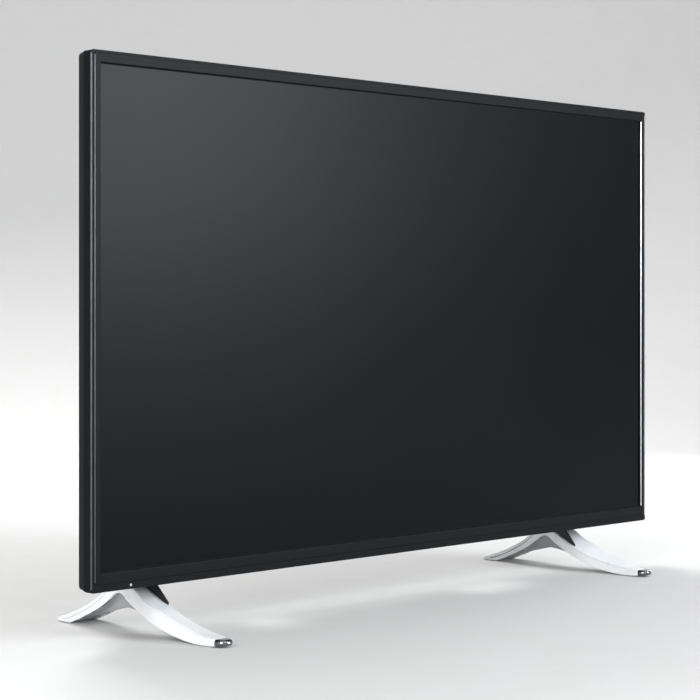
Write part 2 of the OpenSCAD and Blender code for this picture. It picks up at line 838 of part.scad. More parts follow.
// Paper cone with its dust cap and the magnet behind it
module speaker_cone(side) {
    color("#2f3032") translate([side * speaker_x, face_y + speaker_d1 - speaker_d / 2, speaker_z0]) {
        rotate_extrude() polygon([
            [0, 4], [cone_r / 3, 5.5], [cone_r - 3, 0.6], [cone_r, 0.6], [cone_r, 2], [cone_r - 2, 2],
            [cone_r / 3, 8], [cone_r / 3, 14], [cone_r * 0.7, 14], [cone_r * 0.7, 24], [0, 24]
        ]);
        translate([0, 0, 2]) difference() {
            cylinder(r = cone_r + 3, h = 1.5);
            translate([0, 0, -1]) cylinder(r = cone_r - 2, h = 4);
        }
    }
}

module speaker_cone_left() {
    speaker_cone(-1);
}

module speaker_cone_right() {
    speaker_cone(1);
}

// Wireless module beside the upper edge of the main board
wireless_w = 36;
wireless_h = 26;
wireless_t = 3;
wireless_x = board_x1 - 18 - wireless_w;
wireless_z = board_z1 + 20;

module wireless_module() {
    color("#1f5b3c")
        slab([wireless_x, wireless_x + wireless_w], [pan_back_d, pan_back_d + wireless_t],
            [wireless_z, wireless_z + wireless_h]);
}

// Infrared receiver behind its lens in the lower strip
lens_in = 53;
lens_x = lens_in - body_x;
lens_z = body_z0 + rim_bottom / 2;
lens_spot = [lens_x, lens_z];
window_r = 1.5;
lens_flange_t = 0.8;

module infrared_lens() {
    color("#4a2326") {
        rod(lens_spot, [rim_step + 0.1, plate_back_d], window_r);
        rod(lens_spot, [plate_back_d, plate_back_d + lens_flange_t], window_r + 0.3);
    }
}

module infrared_board() {
    front = plate_back_d + lens_flange_t;
    color("#256047") {
        slab([lens_x - 2, lens_x + 2], [front, front + 2.2], [lens_z - 1.2, lens_z + 2.2]);
        slab([lens_x - 14, lens_x + 14], [front + 2.2 - eps, front + 3.4],
            [film_z0 - 0.1, film_z0 + source_h]);
    }
}

// Control switch on the back: a rocker on a plunger that can be pressed
module switch_board() {
    front = switch_board_d - board_t;
    color("#256047") difference() {
        union() {
            slab([-switch_x - 11, -switch_x + 11], [front, switch_board_d],
                [switch_z - boss_in - 4, switch_z + boss_in + 4]);
            for (z = [-1, 0, 1])
                slab([-switch_x - 2, -switch_x + 2], [switch_board_d - eps, switch_board_d + 1.9],
                    [switch_z + z * 11.25 - 0.7, switch_z + z * 11.25 + 0.7]);
        }
        for (s = [-1, 1])
            rod([-switch_x, switch_z + s * boss_in], [front - 1, switch_board_d + 1], screw_r + screw_fit);
    }
}

module switch_housing() {
    depth = [switch_board_d, switch_board_d + 8];
    color("#26272a") difference() {
        slab([-switch_x - guide_x - guide_wall, -switch_x + guide_x + guide_wall], depth,
            [switch_z - guide_z - guide_wall, switch_z + guide_z + guide_wall]);
        slab([-switch_x - guide_x, -switch_x + guide_x], [depth[0] - 1, depth[1] + 1],
            [switch_z - guide_z, switch_z + guide_z]);
    }
}

// Bore for the rocker pin, across the switch
module pin_bore(x0, x1, r) {
    translate([x0 - switch_x, face_y + pin_d, switch_z]) rotate([0, 90, 0]) cylinder(r = r, h = x1 - x0);
}

ear_x = 2.8;

module switch_plunger() {
    color("#3d3e42") difference() {
        union() {
            slab([-switch_x - plunger_x, -switch_x + plunger_x], [plunger_d, pin_d - 3.4],
                [switch_z - plunger_z, switch_z + plunger_z]);
            for (s = [0, 1])
                translate([-switch_x, 0, 0]) mirror([s, 0, 0])
                    slab([ear_x, plunger_x], [plunger_d, pin_d + 2.4], [switch_z - 2.6, switch_z + 2.6]);
        }
        pin_bore(-10, 10, pin_r + screw_fit / 10);
    }
}

module rocker_pin() {
    color("#b8babd") pin_bore(-plunger_x, plunger_x, pin_r);
}

// Rocker cap, dished along its length, with a tab on the pin and two prongs for the switches
module control_rocker() {
    tab_x = ear_x - fit;
    skirt = rocker_top_d - 4.6;
    dish_r = 90;
    color("#26272a") translate([-switch_x, 0, 0]) difference() {
        union() {
            intersection() {
                slab([-rocker_w / 2, rocker_w / 2], [skirt, rocker_top_d],
                    [switch_z - rocker_h / 2, switch_z + rocker_h / 2]);
                along_y([skirt, rocker_top_d])
                    round_rect([-rocker_w / 2, rocker_w / 2],
                        [switch_z - rocker_h / 2, switch_z + rocker_h / 2], 3);
            }
            slab([-tab_x, tab_x], [pin_d - 2.4, skirt + eps], [switch_z - 2.4, switch_z + 2.4]);
            for (s = [-1, 1])
                slab([-tab_x, tab_x], [switch_board_d + 4.2, skirt + eps],
                    [switch_z + s * 11.25 - 0.75, switch_z + s * 11.25 + 0.75]);
        }
        translate([-rocker_w, face_y + rocker_top_d + dish_r - 0.8, switch_z]) rotate([0, 90, 0])
            cylinder(r = dish_r, h = 2 * rocker_w, $fn = 180);
        translate([switch_x, 0, 0]) pin_bore(-10, 10, pin_r + pin_fit);
    }
}

// Half of the cover's outline in plan: straight rim, round edge, slope and flat back
function cover_edge(x, g) =
    let (r = cover_edge_r - g, rim = bezel_d + cover_rim_d - g)
        concat(
            [[x - g, bezel_d - (g > 0 ? 1 : 0)]],
            [for (a = [0:12:60]) [x - g - r + r * cos(a), rim - r + r * sin(a)]],
            [[x - slope_run - g, back_d - g]]
        );

// The cover's bulk, drawn in by a wall
module cover_bulk(g) {
    start = bezel_d - (g > 0 ? 1 : 0);
    half_z = (body_z1 - body_z0) / 2;
    reach = housing_d - start;
    intersection() {
        along_z([body_z0, body_z1]) translate([0, face_y]) polygon(both_sides(cover_edge(body_x, g)));
        along_x([-body_x, body_x]) translate([face_y, body_z0 + half_z])
            polygon([for (p = both_sides(cover_edge(half_z, g))) [p[1], p[0]]]);
        along_y([start, back_d])
            round_rect([g - body_x, body_x - g], [body_z0 + g, body_z1 - g], corner_r);
    }
    intersection() {
        along_z([body_z0, body_z1]) translate([0, face_y])
            polygon(both_sides([[housing_x + reach - g, start], [housing_x - g, housing_d - g]]));
        along_x([-body_x, body_x]) translate([face_y, 0]) polygon([
            [start, body_z0 + g], [housing_d - g, body_z0 + bottom_draft + g],
            [housing_d - g, housing_z1 - g], [start, housing_z1 + reach - g]
        ]);
    }
}

// Recesses for the side terminals, the lower terminals and the mains inlet
module recesses(g) {
    slab([side_wall_x - g, body_x + 1], [recess_d - g, housing_d + 1], [side_z0 - g, side_z1 + g]);
    slab([low_x0 - g, low_x1 + g], [recess_d - g, housing_d + 1], [body_z0 - 1, low_wall_z + g]);
    slab([inlet_x0 - g, inlet_x1 + g], [recess_d - g, housing_d + 1], [body_z0 - 1, low_wall_z + g]);
}

// Windows for the sockets in the recess walls
module socket_windows() {
    wall_x = [side_wall_x - cover_wall - 1, side_wall_x + 1];
    wall_z = [low_wall_z - 1, low_wall_z + cover_wall + 1];
    for (z = hdmi_z)
        slab(wall_x, [parts_d - fit, parts_d + hdmi_h + fit], [z - fit, z + hdmi_w + fit]);
    for (z = usb_z)
        slab(wall_x, [parts_d - fit, parts_d + usb_h + fit], [z - fit, z + usb_w + fit]);
    slab(wall_x, [parts_d - fit, parts_d + card_h + fit], [card_z - fit, card_z + card_w + fit]);
    slab(wall_x, [parts_d - fit, parts_d + jack_w + fit],
        [jack_z - jack_w / 2 - fit, jack_z + jack_w / 2 + fit]);
    slab([network_x - fit, network_x + network_w + fit], [parts_d - fit, parts_d + network_h + fit], wall_z);
    for (x = jack_x)
        slab([x - jack_w / 2 - fit, x + jack_w / 2 + fit], [parts_d - fit, parts_d + jack_w + fit], wall_z);
    translate([antenna_x, face_y + parts_d + can_h / 2, wall_z[0]])
        cylinder(r = antenna_r + fit, h = wall_z[1] - wall_z[0]);
    slab([inlet_x - inlet_w / 2 - fit, inlet_x + inlet_w / 2 + fit],
        [parts_d - fit, parts_d + inlet_h + fit], wall_z);
}

// Vent slots over the boards and under the speakers
module vents() {
    for (s = [-1, 1], x = spread(vent_count, vent_pitch))
        slab([s * (board_x + board_w / 2) + x - vent_w / 2, s * (board_x + board_w / 2) + x + vent_w / 2],
            [housing_d - cover_wall - 1, housing_d + 1], [board_z1 + 8, board_z1 + 8 + vent_l]);
    for (s = [-1, 1], x = spread(6, vent_pitch))
        slab([s * speaker_x + x - vent_w / 2, s * speaker_x + x + vent_w / 2],
            [speaker_d1 - speaker_d / 2 - 12, speaker_d1 - speaker_d / 2 + 12],
            [body_z0 - 1, speaker_z0]);
}

// Places of a foot's two screws in its neck
neck_top = body_z0 + neck_in + bottom_draft;
foot_screw_r = 2;
foot_screw_l = 14;
foot_screw_down = 9;
foot_screw_pitch = 12;
foot_screw_z = [neck_top - foot_screw_down, neck_top - foot_screw_down - foot_screw_pitch];
neck_hole = tongue_top - arch_h - 1;
sleeve_y1 = neck_y1 + fit + cover_wall;

// Rear cover: shell, screw wells, sleeves for the feet and bosses for the switch board
module rear_cover() {
    inside_d = housing_d - cover_wall;
    color("#38393b") difference() {
        union() {
            difference() {
                difference() {
                    cover_bulk(0);
                    recesses(0);
                }
                difference() {
                    cover_bulk(cover_wall);
                    recesses(cover_wall);
                }
            }
            for (spot = cover_spots)
                rod(spot, [pan_back_d, cover_back(spot) - 1], well_r + 2);
            for (s = [-1, 1])
                slab([s * foot_x - sleeve_x, s * foot_x + sleeve_x],
                    [neck_y0 - fit - cover_wall, sleeve_y1],
                    [under_z(sleeve_y1) + 1, neck_top + fit + cover_wall]);
            for (s = [-1, 1], z = foot_screw_z)
                rod([s * foot_x, z], [sleeve_y1 - 1, housing_d - 1], 2 * foot_screw_r + 3);
            for (s = [-1, 1])
                rod([-switch_x, switch_z + s * boss_in], [switch_board_d, inside_d + 1], 2.4 * screw_r);
        }
        for (spot = cover_spots) {
            rod(spot, [pan_back_d + well_floor, housing_d + 1], well_r);
            rod(spot, [pan_back_d - 1, housing_d], screw_r + screw_fit);
        }
        for (s = [-1, 1]) {
            slab([s * foot_x - neck_x - fit, s * foot_x + neck_x + fit], [neck_y0 - fit, neck_y1 + fit],
                [body_z0 - 1, neck_top + fit]);
            for (z = foot_screw_z) {
                rod([s * foot_x, z], [sleeve_y1, housing_d + 1], 2 * foot_screw_r + 0.6);
                rod([s * foot_x, z], [neck_y1, housing_d], foot_screw_r + screw_fit);
            }
            rod([-switch_x, switch_z + s * boss_in], [switch_board_d - 1, switch_board_d + 9],
                screw_r + screw_fit);
        }
        for (spot = mount_spots)
            rod(spot, [inside_d - 1, housing_d + 1], post_r + fit);
        slab([-switch_x - aperture_x, -switch_x + aperture_x], [inside_d - 1, housing_d + 1],
            [switch_z - aperture_z, switch_z + aperture_z]);
        socket_windows();
        vents();
    }
}

// Height of the cover's sloping underside at a depth
function under_z(d) = body_z0 + bottom_draft * (d - bezel_d) / (housing_d - bezel_d);

// Depth of the cover's back at a spot on its flat panels
function cover_back(spot) = spot[1] < housing_z1 && abs(spot[0]) < housing_x ? housing_d : back_d;

// Steel posts on the pan with the threads for a wall mount
module wall_mount_posts() {
    post_d = housing_d - 1.5;
    color("#c9a552") for (spot = mount_spots) difference() {
        rod(spot, [pan_back_d, post_d], post_r);
        rod(spot, [post_d - thread_l, post_d + 1], wall_mount_r);
    }
}

module cover_screws() {
    seat = pan_back_d + well_floor;
    color("#8e9194") for (spot = cover_spots) screw(spot, seat, seat - bar_d - fit, screw_r);
}

module board_screws() {
    color("#8e9194") {
        for (spot = concat(board_spots, timing_spots)) screw(spot, parts_d, board_t + standoff_h, screw_r);
        for (s = [-1, 1])
            screw([-switch_x, switch_z + s * boss_in], switch_board_d - board_t, board_t + 7, screw_r, 1);
    }
}

// Side outline of a foot's chrome arch
arch_outline = concat(
    top_front,
    [
        [-foot_front, pad_proud + toe_t * 0.55],
        [toe_t / 2 - foot_front, pad_proud + 1.6],
        [-toe_rise - 16, pad_proud]
    ],
    under,
    [[foot_back - 4, pad_proud]],
    backwards(top_rear)
);

// Underside of the arch's skin from the heel to the toe
function ceiling(skin, front, back) =
    lowered(concat(
        backwards(between(top_rear, arch_y + 12, back)),
        backwards(between(backwards(top_front), front, arch_y + 6))
    ), skin);

// Plan of a foot: narrow round toe, wider rear leg
module foot_plan(inset) {
    hull() {
        translate([0, toe_w / 2 - foot_front]) circle(toe_w / 2 - inset);
        for (y = [20, arch_y])
            translate([0, y]) square([foot_w - 2 * inset, 1], center = true);
        translate([0, heel_rise - 30]) square([heel_w - 2 * inset, 1], center = true);
        for (s = [-1, 1])
            translate([s * (heel_w / 2 - heel_r), foot_back - heel_r]) circle(heel_r - inset);
    }
}

// Channel under the arch that holds the core
module foot_channel() {
    intersection() {
        along_x([-heel_w, heel_w]) polygon(placed(concat(
            ceiling(foot_wall, core_front, core_back), [[core_front, -1], [core_back, -1]]
        )));
        along_z([-1, foot_h]) translate([0, face_y]) foot_plan(foot_wall);
    }
}

// Tongue of the neck, let into the inner half of the foot's top, with a front that leans back
module tongue_plan(g) {
    translate([0, face_y]) polygon([
        [tongue_x + g, tongue_y[0] - 8 * g], [tongue_in - g, tongue_y[1] - g], [-g, tongue_y[1] - g],
        [-g, tongue_y[2] + g], [tongue_x + g, tongue_y[2] + g]
    ]);
}

module tongue() {
    sink = foot_wall + tongue_sink;
    tongue_back = core_back - 40;
    intersection() {
        along_z([0, tongue_top]) tongue_plan(0);
        along_x([-foot_w, foot_w]) polygon(placed(concat(
            ceiling(sink, tongue_nose[0], tongue_back), [[tongue_nose[1], tongue_top], [tongue_back, tongue_top]]
        )));
    }
}

// Fine seam along the inner side of the rear leg
module seam() {
    seam_d = 0.8;
    seam_w = 1.2;
    seam_drop = 5;
    line = between(top_rear, arch_y + 16, core_back + 4);
    intersection() {
        along_x([0, heel_w]) polygon(placed(concat(
            lowered(line, seam_drop), backwards(lowered(line, seam_drop + seam_w))
        )));
        along_z([0, foot_h]) translate([0, face_y]) difference() {
            foot_plan(-1);
            foot_plan(seam_d);
        }
    }
}

// Chrome arch of one foot, drawn at the middle of the set
module foot_arch() {
    color("#d9dcde") difference() {
        intersection() {
            along_x([-heel_w, heel_w]) polygon(placed(arch_outline));
            along_z([0, foot_h + 1]) translate([0, face_y]) foot_plan(0);
        }
        foot_channel();
        along_z([arch_h / 2, foot_h + 1]) tongue_plan(fit);
        seam();
        pads(fit / 2);
    }
}

// Grey core of one foot: fills the channel, with a web and pairs of lugs under the arch
module foot_core() {
    front = core_front + fit;
    back = core_back - fit;
    lug_y = [heel_rise - 48, heel_rise - 31, heel_rise - 14];
    lug_x = web_t / 2 + 2;
    lug_t = 2;
    lug_gap = 4.5;
    color("#a3a6a8") difference() {
        intersection() {
            union() {
                along_x([-heel_w, heel_w]) polygon(placed(concat(
                    ceiling(foot_wall + fit, front, back), lowered(between(under, front, back), -core_lift)
                )));
                along_x([-web_t / 2, web_t / 2]) polygon(placed(concat(
                    ceiling(foot_wall + 1, web_front[0][0], heel_rise), web_front, tail(web_rear)
                )));
                for (y = lug_y, s = [-1, 1])
                    let (place = y + s * lug_gap / 2, low = lookup(y, web_rear))
                        slab([-lug_x, lug_x], [place - lug_t / 2, place + lug_t / 2], [low - 1.6, low + 4]);
            }
            along_z([0, foot_h]) translate([0, face_y]) foot_plan(foot_wall + fit);
        }
        tongue();
        pads(fit / 2);
        for (y = neck_screw_y) translate([neck_screw_x, face_y + y, 0]) {
            cylinder(r = foot_screw_r + screw_fit, h = foot_h);
            cylinder(r = 2 * foot_screw_r + screw_fit, h = neck_screw_z);
        }
    }
}

// Black neck of one foot: tongue in the arch and tenon up into the cover
module foot_neck() {
    color("#1e1f21") difference() {
        union() {
            tongue();
            slab([-neck_x, neck_x], [neck_y0, neck_y1], [foot_h + 1, neck_top]);
        }
        for (z = foot_screw_z)
            rod([0, z], [neck_y1 - foot_screw_l - 2, neck_y1 + 1], foot_screw_r + screw_fit);
        for (y = neck_screw_y)
            translate([neck_screw_x, face_y + y, arch_h])
                cylinder(r = foot_screw_r + screw_fit, h = neck_hole);
    }
}

// Rubber pads under toe and heel, let into the arch
module pads(g) {
    for (y = pad_spots)
        slab([-pad_w / 2 - g, pad_w / 2 + g], [y - pad_l / 2 - g, y + pad_l / 2 + g], [-g, pad_t + g]);
}

// The left foot is the right one mirrored
module on_left() {
    translate([-foot_x, 0, 0]) children();
}

module on_right() {
    translate([foot_x, 0, 0]) mirror([1, 0, 0]) children();
}

module left_foot() {
    on_left() foot_arch();
}

module right_foot() {
    on_right() foot_arch();
}

module left_foot_core() {
    on_left() foot_core();
}

module right_foot_core() {
    on_right() foot_core();
}

module left_foot_neck() {
    on_left() foot_neck();
}

module right_foot_neck() {
    on_right() foot_neck();
}

module foot_screws() {
    color("#8e9194") for (s = [-1, 1]) translate([s * foot_x, 0, 0]) {
        for (z = foot_screw_z) screw([0, z], sleeve_y1, sleeve_y1 - neck_y1 + foot_screw_l, foot_screw_r);
        for (y = neck_screw_y)
            translate([-s * neck_screw_x, face_y + y, neck_screw_z]) {
                cylinder(r = foot_screw_r, h = neck_hole - 4);
                translate([0, 0, -1.4 * foot_screw_r]) cylinder(r = 2 * foot_screw_r, h = 1.4 * foot_screw_r);
            }
    }
}

module foot_pads() {
    color("#2b2b2c") {
        on_left() pads(0);
        on_right() pads(0);
    }
}

front_bezel();
panel_gasket();
lcd_cell();
middle_frame();
brightness_film();
diffuser_film();
diffuser_plate();
reflector_sheet();
lamp_bars();
lamp_lenses();
back_pan();
source_boards();
drive_films();
timing_board();
panel_ribbon();
main_board();
main_heat_sink();
tuner_can();
hdmi_socket_1();
hdmi_socket_2();
usb_socket_1();
usb_socket_2();
card_slot();
headphone_jack();
network_socket();
antenna_socket();
audio_jacks();
power_board();
power_transformer();
power_capacitors();
power_heat_sink();
mains_inlet();
speaker_box_left();
speaker_box_right();
speaker_cone_left();
speaker_cone_right();
wireless_module();
infrared_board();
infrared_lens();
switch_board();
switch_housing();
switch_plunger();
rocker_pin();
control_rocker();
rear_cover();
wall_mount_posts();
cover_screws();
board_screws();
left_foot();
right_foot();
left_foot_core();
right_foot_core();
left_foot_neck();
right_foot_neck();
foot_screws();
foot_pads();
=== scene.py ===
import math
import bmesh
import bpy
from mathutils import Matrix, Vector


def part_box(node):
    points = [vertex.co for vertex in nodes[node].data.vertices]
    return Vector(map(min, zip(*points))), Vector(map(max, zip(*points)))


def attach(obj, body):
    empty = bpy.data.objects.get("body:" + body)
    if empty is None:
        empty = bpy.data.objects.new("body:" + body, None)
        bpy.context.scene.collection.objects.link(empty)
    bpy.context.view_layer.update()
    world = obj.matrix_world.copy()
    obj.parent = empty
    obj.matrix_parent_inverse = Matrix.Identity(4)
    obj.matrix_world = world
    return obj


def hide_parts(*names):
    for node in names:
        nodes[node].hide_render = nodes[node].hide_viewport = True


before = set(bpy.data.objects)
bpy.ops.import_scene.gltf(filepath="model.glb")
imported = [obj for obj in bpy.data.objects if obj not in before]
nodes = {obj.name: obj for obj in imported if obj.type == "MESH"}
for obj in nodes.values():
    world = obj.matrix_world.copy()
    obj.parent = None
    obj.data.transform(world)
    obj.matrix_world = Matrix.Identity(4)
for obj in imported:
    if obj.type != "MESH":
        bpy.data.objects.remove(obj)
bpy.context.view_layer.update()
mm = 0.001
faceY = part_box("front_bezel")[0].y / mm  # raised face of the bezel, depths count back from it
bodyLow, bodyHigh = (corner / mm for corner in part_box("front_bezel"))
bodyMiddle = (bodyLow.z + bodyHigh.z) / 2
print("frame loaded:", len(nodes), "nodes")


# Colour and material helpers

def linearColour(code):
    parts = [int(code[i:i + 2], 16) / 255 for i in (1, 3, 5)]
    return [p / 12.92 if p <= 0.04045 else ((p + 0.055) / 1.055) ** 2.4 for p in parts] + [1.0]


def addNode(tree, kind, settings=None, links=None):
    node = tree.nodes.new("ShaderNode" + kind)
    for key, value in (settings or {}).items():
        if key == "stops":  # a ramp's two colours, dark to light
            for element, (place, code) in zip(node.color_ramp.elements, value):
                element.position = place
                element.color = linearColour(code)
        elif hasattr(node, key):
            setattr(node, key, value)
        else:
            node.inputs[key].default_value = value
    for key, socket in (links or {}).items():
        tree.links.new(socket, node.inputs[key])
    return node


def startMaterial(name, sockets):
    material = bpy.data.materials.new(name)
    material.use_nodes = True
    tree = material.node_tree
    shader = tree.nodes["Principled BSDF"]
    for key, value in sockets.items():
        shader.inputs[key].default_value = value
    return material, tree, shader, addNode(tree, "TexCoord").outputs["Object"]


# A moulded skin: fine pits from the tool, a tint that drifts a little, gloss that follows the pits.
# Real pits are 0.05 to 0.2 mm wide, drawn coarser here so that they show.
def mouldedPlastic(name, light, dark, roughness, pitMm, relief, sockets=None):
    material, tree, shader, where = startMaterial(name, {"IOR": 1.53, **(sockets or {})})
    pits = addNode(tree, "TexNoise", {"Scale": 1 / (pitMm * mm), "Detail": 3, "Roughness": 0.55}, {"Vector": where})
    drift = addNode(tree, "TexNoise", {"Scale": 1 / (70 * mm), "Detail": 4, "Roughness": 0.6}, {"Vector": where})
    tint = addNode(tree, "ValToRGB", {"stops": [(0.32, dark), (0.68, light)]}, {"Fac": drift.outputs["Fac"]})
    gloss = addNode(tree, "MapRange", {"From Min": 0.3, "From Max": 0.7, "To Min": roughness - 0.05,
                                       "To Max": roughness + 0.05}, {"Value": pits.outputs["Fac"]})
    tree.links.new(tint.outputs["Color"], shader.inputs["Base Color"])
    tree.links.new(gloss.outputs["Result"], shader.inputs["Roughness"])
    if relief:
        bump = addNode(tree, "Bump", {"Strength": relief, "Distance": 0.1 * mm}, {"Height": pits.outputs["Fac"]})
        tree.links.new(bump.outputs["Normal"], shader.inputs["Normal"])
    return material


# Plated or rolled metal: a soft waviness, hairlines along one direction, gloss broken by handling.
# Real hairlines are 0.02 mm apart, drawn coarser here.
def workedMetal(name, light, dark, roughness, hairMm, stretch, wave):
    material, tree, shader, where = startMaterial(name, {"Metallic": 1.0})
    drawn = addNode(tree, "Mapping", {"Scale": stretch}, {"Vector": where})
    hair = addNode(tree, "TexNoise", {"Scale": 1 / (hairMm * mm), "Detail": 4, "Roughness": 0.65},
                   {"Vector": drawn.outputs["Vector"]})
    smear = addNode(tree, "TexNoise", {"Scale": 1 / (35 * mm), "Detail": 3, "Roughness": 0.5}, {"Vector": where})
    tint = addNode(tree, "ValToRGB", {"stops": [(0.3, dark), (0.62, light)]}, {"Fac": smear.outputs["Fac"]})
    gloss = addNode(tree, "MapRange", {"From Min": 0.3, "From Max": 0.7, "To Min": roughness * 0.8,
                                       "To Max": roughness * 1.2}, {"Value": hair.outputs["Fac"]})
    tree.links.new(tint.outputs["Color"], shader.inputs["Base Color"])
    tree.links.new(gloss.outputs["Result"], shader.inputs["Roughness"])
    if wave:
        bump = addNode(tree, "Bump", {"Strength": wave, "Distance": 0.08 * mm}, {"Height": hair.outputs["Fac"]})
        tree.links.new(bump.outputs["Normal"], shader.inputs["Normal"])
    return material


# Solder mask over etched copper: blocky tracks a shade lighter than the ground, glossy
def circuitBoard(name, ground, track, trackMm):
    material, tree, shader, where = startMaterial(name, {"IOR": 1.55, "Coat Weight": 0.3, "Coat Roughness": 0.15})
    cells = addNode(tree, "TexVoronoi", {"feature": "F1", "distance": "CHEBYCHEV", "Scale": 1 / (trackMm * 6 * mm)},
                    {"Vector": where})
    lines = addNode(tree, "TexWave", {"wave_type": "BANDS", "bands_direction": "DIAGONAL", "Distortion": 0.0,
                                      "Scale": 1 / (trackMm * 20 * mm)}, {"Vector": cells.outputs["Position"]})
    edge = addNode(tree, "ValToRGB", {"stops": [(0.42, ground), (0.5, track)]}, {"Fac": lines.outputs["Fac"]})
    bump = addNode(tree, "Bump", {"Strength": 0.3, "Distance": 0.05 * mm}, {"Height": cells.outputs["Distance"]})
    gloss = addNode(tree, "MapRange", {"From Max": 0.6, "To Min": 0.28, "To Max": 0.42},
                    {"Value": cells.outputs["Distance"]})
    tree.links.new(edge.outputs["Color"], shader.inputs["Base Color"])
    tree.links.new(gloss.outputs["Result"], shader.inputs["Roughness"])
    tree.links.new(bump.outputs["Normal"], shader.inputs["Normal"])
    return material


# The screen's front: a hard coated polariser, near black, that spreads reflections into a soft glow
def polariserFilm(name):
    material, tree, shader, where = startMaterial(name, {"IOR": 1.165})
    # the coat's grit is 0.02 mm wide, drawn coarser
    haze = addNode(tree, "TexNoise", {"Scale": 1 / (1.4 * mm), "Detail": 2}, {"Vector": where})
    cloud = addNode(tree, "TexNoise", {"Scale": 1 / (220 * mm), "Detail": 2}, {"Vector": where})
    tint = addNode(tree, "ValToRGB", {"stops": [(0.3, "#020304"), (0.7, "#040506")]}, {"Fac": cloud.outputs["Fac"]})
    gloss = addNode(tree, "MapRange", {"From Min": 0.3, "From Max": 0.7, "To Min": 0.32, "To Max": 0.36},
                    {"Value": haze.outputs["Fac"]})
    tree.links.new(tint.outputs["Color"], shader.inputs["Base Color"])
    tree.links.new(gloss.outputs["Result"], shader.inputs["Roughness"])
    return material


# Clear moulded acrylic or glass: flow lines a touch cloudier than the rest
def clearMoulding(name, light, dark, roughness, ior):
    material, tree, shader, where = startMaterial(name, {"IOR": ior, "Transmission Weight": 0.85})
    flow = addNode(tree, "TexNoise", {"Scale": 1 / (4 * mm), "Detail": 2}, {"Vector": where})
    tint = addNode(tree, "ValToRGB", {"stops": [(0.3, dark), (0.7, light)]}, {"Fac": flow.outputs["Fac"]})
    gloss = addNode(tree, "MapRange", {"To Min": roughness, "To Max": roughness + 0.08}, {"Value": flow.outputs["Fac"]})
    tree.links.new(tint.outputs["Color"], shader.inputs["Base Color"])
    tree.links.new(gloss.outputs["Result"], shader.inputs["Roughness"])
    return material


